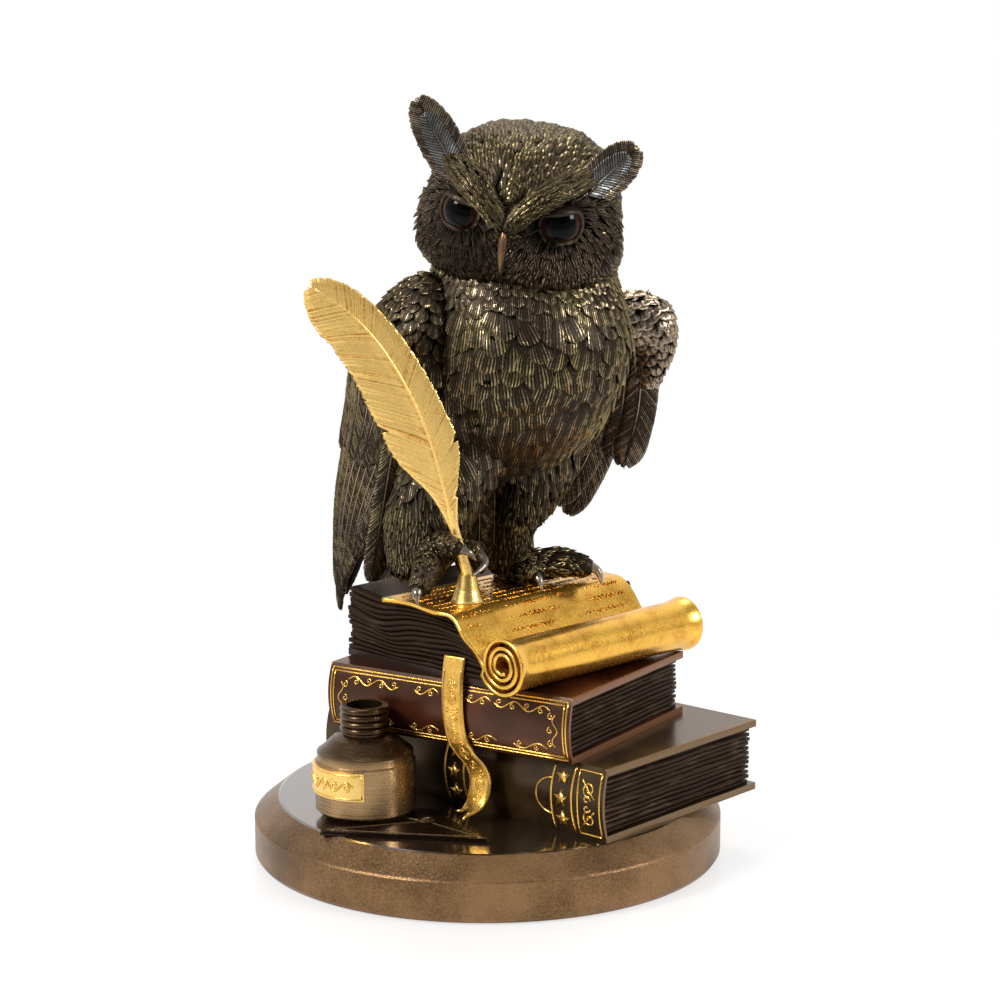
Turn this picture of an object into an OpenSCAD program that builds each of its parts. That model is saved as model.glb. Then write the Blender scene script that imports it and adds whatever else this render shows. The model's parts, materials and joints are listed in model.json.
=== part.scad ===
// Owl figurine: an owl with a quill on a stack of three books, on a round plinth.
// Millimetres, Z up. The origin is the centre of the felt's underside.
// The front of the figurine looks along -Y.

/* [Plinth] */
// Radius of the plinth's wall
plinth_r = 75; // [72:0.5:85]
// Height of the plinth's upright wall, felt included
plinth_wall_h = 13.4; // [10:0.2:20]
// Height of the sloping shoulder above the wall
plinth_slope_h = 6; // [3:0.2:9]
// How far the shoulder slopes inwards
plinth_slope_w = 7.6; // [4:0.2:8.4]
// Thickness of the felt disc
felt_t = 1.8; // [1:0.1:3]
// How far the felt stands out below the plinth
felt_proud = 0.6; // [0.4:0.1:0.8]

/* [Lower book] */
// Length of the lower book's spine
low_len = 118; // [110:1:124]
// Width of the lower book, spine to fore-edge
low_w = 75; // [71:1:80]
// Thickness of the lower book
low_t = 23; // [18:0.5:30]

/* [Middle book] */
// Length of the middle book's spine
mid_len = 88.7; // [87:0.1:96]
// Width of the middle book, spine to fore-edge
mid_w = 70.3; // [69:0.1:78]
// Thickness of the middle book
mid_t = 20.4; // [16:0.2:26]

/* [Book making] */
// Thickness of a cover board
board_t = 2.2; // [1.6:0.1:3]
// How far a rounded spine bulges
spine_bulge = 2.4; // [1.2:0.1:3.2]
// How far the boards stand out past the pages
board_square = 1.6; // [1:0.1:2.4]
// Gap between two leaves cut into a page block
leaf_groove = 0.9; // [0.6:0.1:1.1]
// Depth of that gap
leaf_groove_d = 0.8; // [0.4:0.1:0.9]

/* [Top book] */
// Width of the top book, fore-edge to spine, at its foot
top_w = 62; // [60:0.5:65]
// Depth of the top book, head to tail
top_len = 76; // [72:1:84]
// Thickness of the top book
top_t = 21; // [18:0.5:26]
// Rise of the curled leaves at the fore-edge
top_curl = 1.6; // [0.6:0.2:3]
// How far the spine side leans in over the book's thickness
top_slant = 11; // [9:0.5:13]

/* [Scroll] */
// Thickness of the scroll's sheet
scroll_t = 1.3; // [1:0.1:1.6]
// Outer radius of the rolled end
roll_r = 8.8; // [8:0.1:10]
// Width of the rolled end
roll_w = 83; // [80:1:88]
// Width of the flat sheet
sheet_w = 77; // [74:1:79]

/* [Bookmark] */
// Width of the bookmark ribbon
ribbon_w = 6.4; // [5:0.2:8]
// Thickness of the ribbon
ribbon_t = 0.9; // [0.7:0.1:1.2]

/* [Ink bottle] */
// Radius of the bottle's body
bottle_r = 15.6; // [14:0.1:16.4]
// Height of the bottle, foot to lip
bottle_h = 34; // [31:0.5:38]
// Height of its upright wall
bottle_wall_h = 18; // [15:0.5:20]
// Outer radius of the threaded neck
neck_r = 7.7; // [7:0.1:8.6]
// Radius of the bottle's mouth
mouth_r = 5.6; // [5:0.1:6]
// Depth of the mouth below the lip
mouth_depth = 16; // [12:0.5:20]
// Thickness of the letter under the bottle
letter_t = 1.2; // [0.8:0.1:1.6]
// Thickness of the bottle's label plate
label_t = 0.7; // [0.5:0.1:1]
// Height of the label plate
label_h = 8.8; // [8:0.2:10]

/* [Quill] */
// Size of the quill: its bend is drawn in shares of this
quill_len = 105; // [96:1:110]
// Widest half of the vane, on the outer side
vane_out = 13.4; // [11:0.2:14]
// Widest half of the vane, on the inner side
vane_in = 7.8; // [6:0.2:8.4]
// Radius of the shaft at its socket
shaft_r = 1.7; // [1.5:0.1:2]
// Height of the socket cone
socket_h = 8.4; // [7.4:0.2:9]
// Radius of the socket cone at its foot
socket_r = 5.2; // [4.6:0.1:6]

/* [Owl] */
// Height of the torso, perch to neck
torso_h = 104; // [100:1:110]
// Width of the torso
torso_w = 65; // [62:0.5:68]
// Depth of the torso, breast to back
torso_d = 60; // [57:0.5:63]
// Width of the head
head_w = 65; // [62:0.5:68]
// Height of the head, chin to crown
head_h = 48.5; // [46:0.5:51]
// Depth of the head, face to nape
head_d = 57; // [54:0.5:60]
// Radius of a glass eye
eye_r = 7.4; // [7:0.1:7.8]
// Length of the beak
beak_len = 10; // [8:0.5:12]
// Width of an ear tuft
tuft_w = 13.4; // [11:0.2:15]
// Length of the folded wing, shoulder to tip
wing_len = 110; // [104:1:112]
// Length of the raised wing's feathers, wrist to lowest tip
primary_len = 66; // [62:1:70]
// Length of the tail
tail_len = 50; // [46:1:54]
// Radius of the standing leg's shin
shin_r = 5; // [4.6:0.1:5.6]
// Length of a row of broad feathers on the body and the crown
tier_step = 14; // [12:0.5:18]
// How far the tips of the broad feathers stand out
tier_relief = 1.7; // [0.6:0.1:2]

/* [Assembly] */
// Radius of the steel pins through the book stack
stack_pin_r = 2.5; // [2:0.1:3]
// Radius of the steel rod in the standing leg
leg_rod_r = 1.5; // [1.2:0.1:1.8]
// Radius of the spigots that hold the head, wings and tail
spigot_r = 4; // [3.5:0.1:4.5]
// Gap round a pin or spigot in its bore, for glue
glue_gap = 0.1; // [0.05:0.05:0.2]
// Gap left between two castings that only lie close
lay_gap = 0.3; // [0.2:0.05:0.35]

/* [Hidden] */

$fn = 64;
SMOOTH = 32;              // facets round a lofted form

// Colours
bronze = [0.25, 0.21, 0.15];
olive = [0.27, 0.27, 0.16];
oxblood = [0.25, 0.14, 0.11];
leaf_brown = [0.16, 0.12, 0.10];
gilt = [0.85, 0.62, 0.22];
pale_bronze = [0.38, 0.31, 0.22];
copper = [0.55, 0.33, 0.16];

// Heights of the stack
plinth_h = plinth_wall_h + plinth_slope_h;
low_z = plinth_h;
mid_z = low_z + low_t;
top_z = mid_z + mid_t;
sheet_z = top_z + top_t + lay_gap;
perch_z = sheet_z + scroll_t;

// Where each book's near corner stands, and how it is turned
low_at = [35.8, -57.8];
low_turn = 47.8;
mid_at = [25.6, -52.3];
mid_turn = 57.6;
top_at = [-43.4, 4.2];
top_turn = -45;

// Where the bottle, the quill's socket and the owl stand
bottle_at = [-38, -26.6];
socket_at = [-6, -18];
owl_at = [12, 10];
owl_turn = 38;

// Pins through the stack, on the plinth
pin_at = [[2, -4], [16, 14]];
pin_foot = 5;             // pin's lower end below the plinth's top
pin_head = 12;            // pin's upper end above the middle book

module in_lower() translate([low_at.x, low_at.y, low_z]) rotate(low_turn) children();
module in_middle() translate([mid_at.x, mid_at.y, mid_z]) rotate(mid_turn) children();
module in_top() translate([top_at.x, top_at.y, top_z]) rotate(top_turn) children();
module in_owl() translate([owl_at.x, owl_at.y, perch_z]) rotate(owl_turn) children();

// ---------- general forms ----------

function unit(v) = v / norm(v);
function lerp(a, b, t) = a + (b - a) * t;
function total(v, i = 0) = i == len(v) - 1 ? v[i] : v[i] + total(v, i + 1);
function middle(ring) = total(ring) / len(ring);
function back_to_front(v) = [for (i = [len(v) - 1:-1:0]) v[i]];

// A point of a smooth curve through points p, at parameter u from 0 to len(p) - 1
function curve_at(p, u) =
    let (i = min(floor(u), len(p) - 2), t = u - i,
        a = p[max(i - 1, 0)], b = p[i], c = p[i + 1], d = p[min(i + 2, len(p) - 1)])
    0.5 * ((2 * b) + (c - a) * t + (2 * a - 5 * b + 4 * c - d) * t * t
        + (3 * b - a - 3 * c + d) * t * t * t);
function curve(p, n) = [for (k = [0:n]) curve_at(p, k * (len(p) - 1) / n)];

// The direction of a path at its point k
function heading(path, k) = unit(path[min(k + 1, len(path) - 1)] - path[max(k - 1, 0)]);

// Which way a ring of points turns
function facing(ring) = let (c = middle(ring))
    total([for (i = [0:len(ring) - 1]) cross(ring[i] - c, ring[(i + 1) % len(ring)] - c)]);

// A closed skin over rings of points that all have the same count
module skin(rings) {
    n = len(rings[0]);
    m = len(rings);
    outward = facing(rings[0]) * (middle(rings[1]) - middle(rings[0])) > 0;
    points = [for (r = rings) each outward ? r : back_to_front(r)];
    sides = [for (j = [0:m - 2], i = [0:n - 1]) let (k = (i + 1) % n)
        each [[j * n + i, (j + 1) * n + i, (j + 1) * n + k], [j * n + i, (j + 1) * n + k, j * n + k]]];
    polyhedron(points, concat([[for (i = [0:n - 1]) i]], sides,
        [[for (i = [n - 1:-1:0]) (m - 1) * n + i]]), convexity = 6);
}

// Lofted forms and their cuts, cast as one skin at their drawn size
module cast() resize([0, 0, 0]) union() children();

// An oval ring: centre c, half sizes a and b, turned about Z
function oval(c, a, b, turn = 0, n = SMOOTH) = [for (i = [0:n - 1])
    let (w = 360 * i / n, x = a * cos(w), y = b * sin(w))
    c + [x * cos(turn) - y * sin(turn), x * sin(turn) + y * cos(turn), 0]];

// A direction that lies square to the plane that a path bends in
function off_plane(p) = let (a = p[1] - p[0], b = p[len(p) - 1] - p[0], n = cross(a, b))
    norm(n) > 0.04 * norm(a) * norm(b) ? unit(n) : abs(b.z) < 0.7 * norm(b) ? [0, 0, 1] : [1, 0, 0];

// A round limb along a curve through points p, with radii r
module limb(p, r, n = 12, steps = 10) {
    path = curve(p, steps);
    radii = curve(r, steps);
    side = off_plane(p);
    skin([for (k = [0:steps])
        let (t = heading(path, k), q = unit(cross(t, side)), s = cross(q, t))
        [for (i = [0:n - 1]) path[k] + radii[k] * (cos(360 * i / n) * s + sin(360 * i / n) * q)]]);
}

// Half width of a feather along its length t, 0 at the root and 1 at the tip
function feather_w(t) = t < 0.2 ? lerp(0.35, 0.88, t / 0.2)
    : t < 0.7 ? lerp(0.88, 1, (t - 0.2) / 0.5) : max(0.14, sqrt(max(0, 1 - pow((t - 0.7) / 0.305, 2))));

// A flat feather from root to tip: w is its half width, face the way its outer side looks,
// bow how far its middle stands out that way
module blade(root, tip, w, face, bow = 0, thick = 1.6, steps = 9) {
    t = unit(tip - root);
    s = unit(cross(t, face));
    f = cross(s, t);
    skin([for (k = [0:steps])
        let (u = k / steps, c = lerp(root, tip, u) + f * bow * sin(180 * u), h = w * feather_w(u),
            e = thick * (1 - 0.45 * u) / 2)
        [c - s * h, c - s * h * 0.5 - f * e, c - f * e, c + s * h * 0.5 - f * e,
            c + s * h, c + s * h * 0.5 + f * e * 0.6, c + f * e, c - s * h * 0.5 + f * e * 0.6]]);
}

// Twice the points round a ring, and twice the rings, for relief to be raised on
function finer_round(ring) = [for (i = [0:len(ring) - 1])
    each [ring[i], (ring[i] + ring[(i + 1) % len(ring)]) / 2]];
function finer_along(rings) = [for (k = [0:len(rings) - 1])
    each k == len(rings) - 1 ? [rings[k]] : [rings[k], (rings[k] + rings[k + 1]) / 2]];

// From 0 to 1 as v goes from a to b
function fade(v, a, b) = max(0, min(1, (v - a) / (b - a)));

// Rows of broad feathers that overlap like tiles: s counts feathers along a row, d counts rows.
// 0 at a feather's root and 1 at the middle of its rounded tip
function off_middle(s, row) = let (v = s + row / 2) 2 * (v - floor(v)) - 1;
function tip_at(s, row) = row - 0.34 * (1 - sqrt(1 - pow(off_middle(s, row), 2)));
function tier_out(s, d) = let (row = tip_at(s, ceil(d)) >= d ? ceil(d) : ceil(d) + 1)
    max(0, 1 - 0.8 * (tip_at(s, row) - d)) * (1 - 0.3 * pow(off_middle(s, row), 2));

// ---------- plinth ----------

module felt_pad() color("darkolivegreen")
    cylinder(r = plinth_r - plinth_slope_w, h = felt_t);

module plinth() color(bronze) difference() {
    rotate_extrude() polygon([[0, felt_proud], [plinth_r - 0.8, felt_proud],
        [plinth_r, felt_proud + 1.2], [plinth_r, plinth_wall_h - 0.6],
        [plinth_r - 0.5, plinth_wall_h], [plinth_r - plinth_slope_w, plinth_h - 0.3],
        [plinth_r - plinth_slope_w - 0.8, plinth_h], [0, plinth_h]]);
    translate([0, 0, -1]) cylinder(r = plinth_r - plinth_slope_w + glue_gap, h = felt_t + 1);
    pin_bores();
}

module stack_pin_columns(grow) for (p = pin_at) translate([p.x, p.y, plinth_h - pin_foot])
    cylinder(r = stack_pin_r + grow, h = pin_foot + low_t + mid_t + pin_head + grow);
module pin_bores() stack_pin_columns(glue_gap);
module stack_pins() color("silver") stack_pin_columns(0);

// ---------- letter and ink bottle ----------

letter_outline = [[-51, -48], [1, -57.2], [-10.5, -37], [-17.5, -25], [-49, -21]];
seal_at = [-19, -38.6];

module letter() color(bronze) translate([0, 0, plinth_h]) {
    linear_extrude(letter_t * 0.5) polygon(letter_outline);
    translate([0, 0, letter_t * 0.5]) linear_extrude(letter_t * 0.5) offset(delta = -0.7)
        polygon(letter_outline);
}

module wax_seal() color(copper) translate([seal_at.x, seal_at.y, plinth_h + letter_t])
    rotate_extrude() polygon([[0, 0], [2.6, 0], [2.8, 0.4], [2.3, 0.9], [1.6, 0.7], [0, 0.7]]);

bottle_z = plinth_h + letter_t;
shoulder_h = 5;           // height of the sloping shoulder
foot_bevel = 1.6;         // bevel round the bottle's foot
thread_count = 4;
thread_d = 0.8;           // how far a thread stands out
wall_top = foot_bevel + bottle_wall_h;

module ink_bottle() {
    neck_z = wall_top + shoulder_h;
    pitch = (bottle_h - neck_z - 1) / thread_count;
    color(pale_bronze) translate([bottle_at.x, bottle_at.y, bottle_z]) difference() {
        rotate_extrude() union() {
            polygon([[0, 0], [bottle_r - foot_bevel, 0], [bottle_r, foot_bevel],
                [bottle_r, wall_top - 3], [bottle_r - 0.6, wall_top - 2.4], [bottle_r - 0.6, wall_top],
                [bottle_r - 2.2, wall_top + 1.2], [neck_r + 2.4, neck_z - 0.8], [neck_r + 0.6, neck_z],
                [neck_r - thread_d, neck_z + 0.6], [neck_r - thread_d, bottle_h], [0, bottle_h]]);
            for (i = [0:thread_count - 1])
                translate([neck_r - thread_d - 0.3, neck_z + 1 + (i + 0.5) * pitch])
                    circle(r = thread_d + 0.3, $fn = 20);
        }
        translate([0, 0, bottle_h - mouth_depth]) cylinder(r = mouth_r, h = mouth_depth + 1);
    }
}

label_turn = 172;         // where the label starts, round the bottle
label_angle = 99;         // how far round it goes
label_lift = 2.8;         // its middle, above the middle of the wall's smooth part

module ink_label() color(gilt) translate([bottle_at.x, bottle_at.y,
        bottle_z + foot_bevel + (bottle_wall_h - 3 - label_h) / 2 + label_lift])
    rotate(label_turn) rotate_extrude(angle = label_angle)
        translate([bottle_r + 0.02, 0]) square([label_t, label_h]);

// ---------- books ----------

// The outline of a closed book seen along its spine: spine at x = 0, rounded outwards
module book_section(w, t, bulge) {
    r = (t * t / 4 + bulge * bulge) / (2 * bulge);
    translate([bulge, 0]) square([w - bulge, t]);
    intersection() {
        translate([r - bulge, t / 2]) circle(r);
        translate([-2 * bulge, 0]) square([3 * bulge + 0.01, t]);
    }
}

module along_spine(length) translate([0, length, 0]) rotate([90, 0, 0])
    linear_extrude(length) children();

module book_cover(length, w, t) along_spine(length) difference() {
    book_section(w, t, spine_bulge);
    translate([0, board_t]) book_section(w + 1, t - 2 * board_t, spine_bulge * 0.55);
}

// A page block with a groove between its leaves on the three open sides
module page_block(length, w, t) {
    inner_t = t - 2 * board_t;
    leaves = floor(inner_t / (2 * leaf_groove));
    pitch = inner_t / leaves;
    translate([glue_gap, board_square + leaf_groove_d, board_t])
        cube([w - board_square - leaf_groove_d, length - 2 * (board_square + leaf_groove_d), inner_t]);
    for (i = [0:leaves - 1])
        translate([glue_gap, board_square, board_t + i * pitch + leaf_groove / 4])
            cube([w - board_square, length - 2 * board_square, pitch - leaf_groove / 2]);
}

module lower_book_cover() color(olive) difference() {
    in_lower() book_cover(low_len, low_w, low_t);
    pin_bores();
}
module lower_book_pages() color(leaf_brown) difference() {
    in_lower() page_block(low_len, low_w, low_t);
    pin_bores();
}
module middle_book_cover() color(oxblood) difference() {
    in_middle() book_cover(mid_len, mid_w, mid_t);
    pin_bores();
}
module middle_book_pages() color(leaf_brown) difference() {
    in_middle() page_block(mid_len, mid_w, mid_t);
    pin_bores();
}

// The top book: leaves that curl up at the fore-edge and slide out at the spine
top_leaves = 7;
curl_reach = 15;          // how far in from the fore-edge the leaves curl
function leaf_z(x, level) = level
    + max(0, level - board_t) / (top_t - board_t)
        * (top_curl * pow(max(0, 1 - x / curl_reach), 2) - 0.3 * (1 - cos(720 * x / top_w)));
function leaf_end(level) = top_w - top_slant * pow(max(level, 0) / top_t, 1.1);
function leaf_outline(z0, z1, grow) = let (n = 12)
    concat([for (k = [0:n]) let (x = lerp(-grow, leaf_end(z0) + grow, k / n)) [x, leaf_z(x, z0)]],
        [for (k = [n:-1:0]) let (x = lerp(-grow, leaf_end(z1) + grow, k / n)) [x, leaf_z(x, z1)]]);

module top_book_cover() color(oxblood) difference() {
    in_top() translate([-1.2, -0.4, 0]) cube([top_w + 1, top_len + 0.8, board_t]);
    pin_bores();
}

module top_book_pages() color(leaf_brown) difference() {
    pitch = (top_t - board_t) / top_leaves;
    in_top() {
        translate([0, -leaf_groove_d, 0]) along_spine(top_len)
            polygon(leaf_outline(board_t, top_t, 0));
        for (i = [0:top_leaves - 1]) let (z = board_t + i * pitch)
            along_spine(top_len)
                polygon(leaf_outline(z + leaf_groove / 3, z + pitch - leaf_groove / 3, leaf_groove_d));
    }
    in_top() translate([-5, -5, -1]) cube([top_w + 10, 5, top_t + 10]);
    pin_bores();
    in_owl() rod_bore();
}

// ---------- bookmark ribbon, in the middle book's frame ----------

ribbon_path = [[-1, 41.2, mid_t + 8], [-1.8, 41.2, mid_t + 5], [-3.1, 41, mid_t - 1],
    [-3.4, 40.6, mid_t * 0.5], [-2.9, 39.6, 3], [-1.8, 37.3, -1.5], [-0.2, 34.4, -6],
    [0.2, 33, -10.5], [-1.2, 33.4, letter_t - low_t + 6], [-3.4, 35.4, letter_t - low_t + 2.6],
    [-5.5, 37.5, letter_t - low_t + 1]];
ribbon_lean = [0, 0, 0, 2, 8, 12, 10, 0, -14, -24, -10];  // how far its width is tipped up, degrees

module bookmark_ribbon() color(gilt) in_middle() {
    steps = 40;
    path = curve(ribbon_path, steps);
    lean = curve(ribbon_lean, steps);
    skin([for (k = [0:steps])
        let (t = heading(path, k), across = [0, cos(lean[k]), sin(lean[k])],
            w = unit(across - (across * t) * t), f = cross(t, w), c = path[k], h = ribbon_w / 2)
        [c - w * h - f * ribbon_t / 2, c + w * h - f * ribbon_t / 2,
            c + w * h + f * ribbon_t / 2, c - w * h + f * ribbon_t / 2]]);
}

// ---------- scroll, in the top book's frame ----------

roll_turns = 2.1;
roll_pitch = 2.3;         // how far the roll winds in over one turn
roll_start = 195;         // where the sheet meets the roll
sheet_start = 20;         // the sheet's free end, from the fore-edge
sheet_front = -5;         // how far the sheet hangs out past the pages
roll_front = -4;
roll_mid = [top_w + roll_r + 0.6, roll_r + lay_gap];
function step_aside(p, k, d) = let (t = heading(p, k)) p[k] + d * [-t.y, t.x];
function ribbon_outline(line) = concat(
    [for (k = [0:len(line) - 1]) step_aside(line, k, scroll_t / 2)],
    [for (k = [len(line) - 1:-1:0]) step_aside(line, k, -scroll_t / 2)]);
sheet_line = let (h = top_t + lay_gap + scroll_t / 2, e = leaf_end(top_t), r = roll_r - scroll_t / 2)
    concat([[sheet_start, h], [(sheet_start + e) / 2, h]],
        curve([[e - 4, h], [e + 0.4, h - 0.5], [e + 4.4, h - 3.6], [e + 7.8, h - 8.2], [e + 10.6, h - 12.6],
            roll_mid + r * [cos(roll_start), sin(roll_start)]], 20));
roll_line = let (r = roll_r - scroll_t / 2) [for (a = [0:12:360 * roll_turns])
    roll_mid + (r - roll_pitch * a / 360) * [cos(roll_start + a), sin(roll_start + a)]];

module scroll() color(gilt) difference() {
    in_top() {
        translate([0, sheet_front, 0]) along_spine(sheet_w) polygon(ribbon_outline(sheet_line));
        translate([0, roll_front, 0]) along_spine(roll_w) polygon(ribbon_outline(roll_line));
    }
    in_owl() rod_bore();
}

// ---------- quill and its socket ----------

// The shaft's line, as shares of the quill's size: across, and up
shaft_bend = [[0, 0], [-0.035, 0.13], [-0.07, 0.28], [-0.105, 0.41], [-0.165, 0.54], [-0.25, 0.68],
    [-0.335, 0.79], [-0.43, 0.875]];
quill_forward = 0.12;     // how far the quill leans to the front for each millimetre up
nib_depth = 5;            // how deep the shaft stands in its socket
vane_out_shares = [0.1, 0.32, 0.9, 1, 1, 0.98, 0.94, 0.84];
vane_in_shares = [0.14, 0.5, 1, 0.9, 0.8, 0.72, 0.66, 0.6];
function shaft_point(q) = quill_len * [q.x, -quill_forward * q.y, q.y];
function shaft_path(steps) = curve([for (q = shaft_bend) shaft_point(q)], steps);
function vane_w(shares, u) = curve_at(shares, u * (len(shares) - 1))
    * (u < 0.86 ? 1 : sqrt(max(0.004, 1 - pow((u - 0.86) / 0.141, 2))));

module quill_socket() color(gilt) translate([socket_at.x, socket_at.y, perch_z]) difference() {
    rotate_extrude() polygon([[0, 0], [socket_r, 0], [socket_r - 0.5, 0.7],
        [shaft_r + 2, socket_h * 0.45], [shaft_r + 1, socket_h], [0, socket_h]]);
    translate([0, 0, socket_h - nib_depth]) cylinder(r = shaft_r + glue_gap, h = nib_depth + 1);
}

module quill() color(gilt) translate([socket_at.x, socket_at.y, perch_z + socket_h]) {
    steps = 36;
    foot = 5;                 // rings of bare shaft below the vane
    path = shaft_path(steps);
    cast() {
        quill_shaft(path);
        skin([for (k = [foot:steps])
            let (u = (k - foot) / (steps - foot), c = path[k], t = heading(path, k),
                s = unit(cross(t, [0, -1, -quill_forward])), f = cross(s, t),
                wl = vane_out * vane_w(vane_out_shares, u), wr = vane_in * vane_w(vane_in_shares, u),
                e = 0.8 - 0.35 * u)
            [c - s * wl - f * 0.09 * wl, c - s * wl * 0.5 - f * e, c - f * e, c + s * wr - f * 0.1 * wr,
                c + s * wr + f * 0.3, c + f * e, c - s * wl * 0.5 + f * e, c - s * wl + f * 0.3]]);
    }
    translate([0, 0, glue_gap - nib_depth]) cylinder(r = shaft_r, h = nib_depth);
}
module quill_shaft(path, grow = 0) difference() {
    n = len(path) - 1;
    limb([for (k = [0:4:n]) path[k]], [for (k = [0:4:n]) shaft_r * (1 - 0.75 * k / n) + grow], 12, 24);
    translate([0, 0, -shaft_r]) cube([8, 8, 2 * shaft_r], center = true);
}

// ---------- the owl, in its own frame: it looks along -Y, the perch is z = 0 ----------

hw = torso_w / 2;
hd = torso_d / 2;

// Torso sections: share of the height, how far back, share of half width, share of half depth
torso_rings = [[0.19, 27, 0.2, 0.22], [0.24, 25, 0.42, 0.44], [0.3, 21, 0.62, 0.63], [0.39, 14, 0.8, 0.79],
    [0.5, 6.5, 0.94, 0.91], [0.62, 1, 1, 0.98], [0.74, -2.4, 1, 1], [0.84, -2.4, 0.98, 0.97],
    [0.92, -1, 0.94, 0.92], [1, 0, 0.88, 0.86]];
thigh_start = torso_h * 0.48;
left_ankle = [-3.5, 0, 17.6];
right_knee = [-35.5, 9, 5];
neck_at = [-2, -2];
neck_spigot_h = 9;
wing_z = torso_h * 0.79;  // height of the wings' spigots
wing_spigot = 10;         // length of a wing's spigot inside the torso
tail_root = [0, 31.5, 23];
tail_down = 42;           // how steeply the tail slopes
tail_spigot = 8;
tail_reach = 9;           // length of the tail's spigot outside the torso

// Broad feathers on breast and back, clear of the wings, the head and the tail
tiers_round = 13;
function breast_share(w, z) = fade(z, 0.4, 0.44) * fade(z, 0.91, 0.87)
    * max(fade(w, 194, 206) * fade(w, 326, 316), fade(w, 54, 64) * fade(w, 122, 112));
function feathered_ring(ring) = let (c = middle(ring)) [for (p = ring)
    let (w = (atan2(p.y - c.y, p.x - c.x) + 360) % 360)
    p + unit([p.x - c.x, p.y - c.y, 0]) * tier_relief * breast_share(w, p.z / torso_h)
        * tier_out(w * tiers_round / 360, (torso_h - p.z) / tier_step)];

module torso_form(grow = 0, feathered = false) {
    rings = [for (r = curve(torso_rings, 18))
        oval([0, r[1], r[0] * torso_h + (r[0] == 1 ? grow : 0)], r[2] * hw + grow, r[3] * hd + grow)];
    skin(feathered ? [for (r = finer_along(rings)) feathered_ring(finer_round(r))] : rings);
    limb([[hw * 0.4, 8, thigh_start], [hw * 0.26, 4, 38], [0.5, 1, 26], left_ankle],
        [15 + grow, 13.5 + grow, 9 + grow, shin_r + grow], 18, 9);
    limb([[-hw * 0.45, 8, thigh_start], [-hw * 0.75, 7, 38], [-32, 8, 25], [-35, 9, 13], right_knee],
        [15 + grow, 14.5 + grow, 13 + grow, 10.5 + grow, 7 + grow], 18, 10);
}

module torso() color(olive) in_owl() difference() {
    cast() torso_form(0, true);
    translate([neck_at.x, neck_at.y, torso_h - neck_spigot_h])
        cylinder(r = spigot_r + glue_gap, h = neck_spigot_h + 1);
    for (side = [-1, 1]) wing_peg(side, glue_gap, 6);
    tail_peg(glue_gap);
    rod_bore();
}

module wing_peg(side, grow, reach) translate([side * (hw - wing_spigot), 4, wing_z]) rotate([0, side * 90, 0])
    translate([0, 0, -grow]) cylinder(r = spigot_r + grow, h = wing_spigot + reach);
module tail_peg(grow) translate(tail_root) rotate([90 - tail_down, 0, 0]) translate([0, 0, -tail_reach])
    cylinder(r = spigot_r * 0.7 + grow, h = tail_spigot + tail_reach + grow);

// ----- folded wing, on the owl's right -----

// Sections: share of the length down from the shoulder, out past the torso, back, half thickness, half width
wing_rings = [[0.0, -4, 10, 3, 5], [0.04, -0.5, 11, 6, 10], [0.12, 3, 13, 8.4, 15], [0.26, 5.6, 17, 8.8, 18.5],
    [0.4, 6.4, 22, 7.8, 18.5], [0.53, 6.8, 29, 6.4, 16], [0.67, 6, 36, 5, 12.5], [0.81, 4.6, 42.5, 3.6, 8.5],
    [0.93, 3.6, 47.5, 2.6, 5], [1, 3.2, 50.5, 1.2, 1.8]];
wing_turn = 6;            // how far the wing's sections turn in at the back

module folded_wing() color(bronze) in_owl() {
    top = torso_h * 0.965;
    cast() difference() {
        skin([for (r = curve(wing_rings, 20))
            oval([-hw - r[1], r[2], top - r[0] * wing_len], r[3], r[4], wing_turn)]);
        torso_form(lay_gap);
    }
    wing_peg(-1, 0, 6);
}

// ----- raised wing, on the owl's left -----

wrist = [hw + 15.5, -7.5, torso_h * 0.78];
raised_back = [0.616, 0.788, 0.1];      // the way the raised wing's upper side looks
// Tips of its flight feathers, from the wrist: shares of the feather length
raised_tips = [[-0.04, 0.11, -0.75], [-0.08, 0.15, -0.76], [-0.13, 0.2, -0.79], [-0.18, 0.24, -0.84],
    [-0.24, 0.28, -0.92], [-0.3, 0.32, -1]];

module raised_wing() color(bronze) in_owl() {
    cast() difference() {
        union() {
            limb([[hw - 6, 4, wing_z], [hw + 4, 0, wing_z + 0.5], wrist, wrist + [6.4, -1.2, -2]],
                [7.5, 9, 8.8, 4], 18, 9);
            limb([wrist + [-1.5, 0.4, 7], wrist + [0.6, 0, 1], wrist + [2.5, 0.5, -9], wrist + [2, 2, -27]],
                [4, 8.4, 7, 3], 18, 9);
            for (i = [0:len(raised_tips) - 1])
                blade(wrist + [-2.2 * i, 2.9 + 1.8 * i, -5] + raised_back * 1.1 * i,
                    wrist + raised_tips[i] * primary_len + raised_back * 1.1 * i,
                    6.8, raised_back, -1.5, 2.2);
        }
        torso_form(lay_gap);
    }
    wing_peg(1, 0, 10);
}

// ----- tail -----

module tail() color(bronze) in_owl() {
    cast() difference() {
        translate(tail_root) rotate([-tail_down, 0, 0]) for (i = [-2:2]) rotate([0, 0, -i * 5])
            blade([i * 2, -2, 0], [i * 2, tail_len, -abs(i) * 0.9], 5.6, [0, 0, 1], 1.5, 3);
        torso_form(lay_gap);
    }
    tail_peg(0);
}

// ----- head: its own frame has z = 0 at the eyes' height -----

head_at = [-5.1, -6.2];
head_z = torso_h + 16.7;
head_turn = -47.5;        // turned back over the owl's right side
head_tilt = 7.5;          // crown leaning to the owl's left
head_nod = 6;
chin_z = -23;             // chin, below the eyes
module in_head() in_owl() translate([head_at.x, head_at.y, head_z]) rotate(head_turn)
    rotate([0, head_tilt, 0]) rotate([head_nod, 0, 0]) children();

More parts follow.
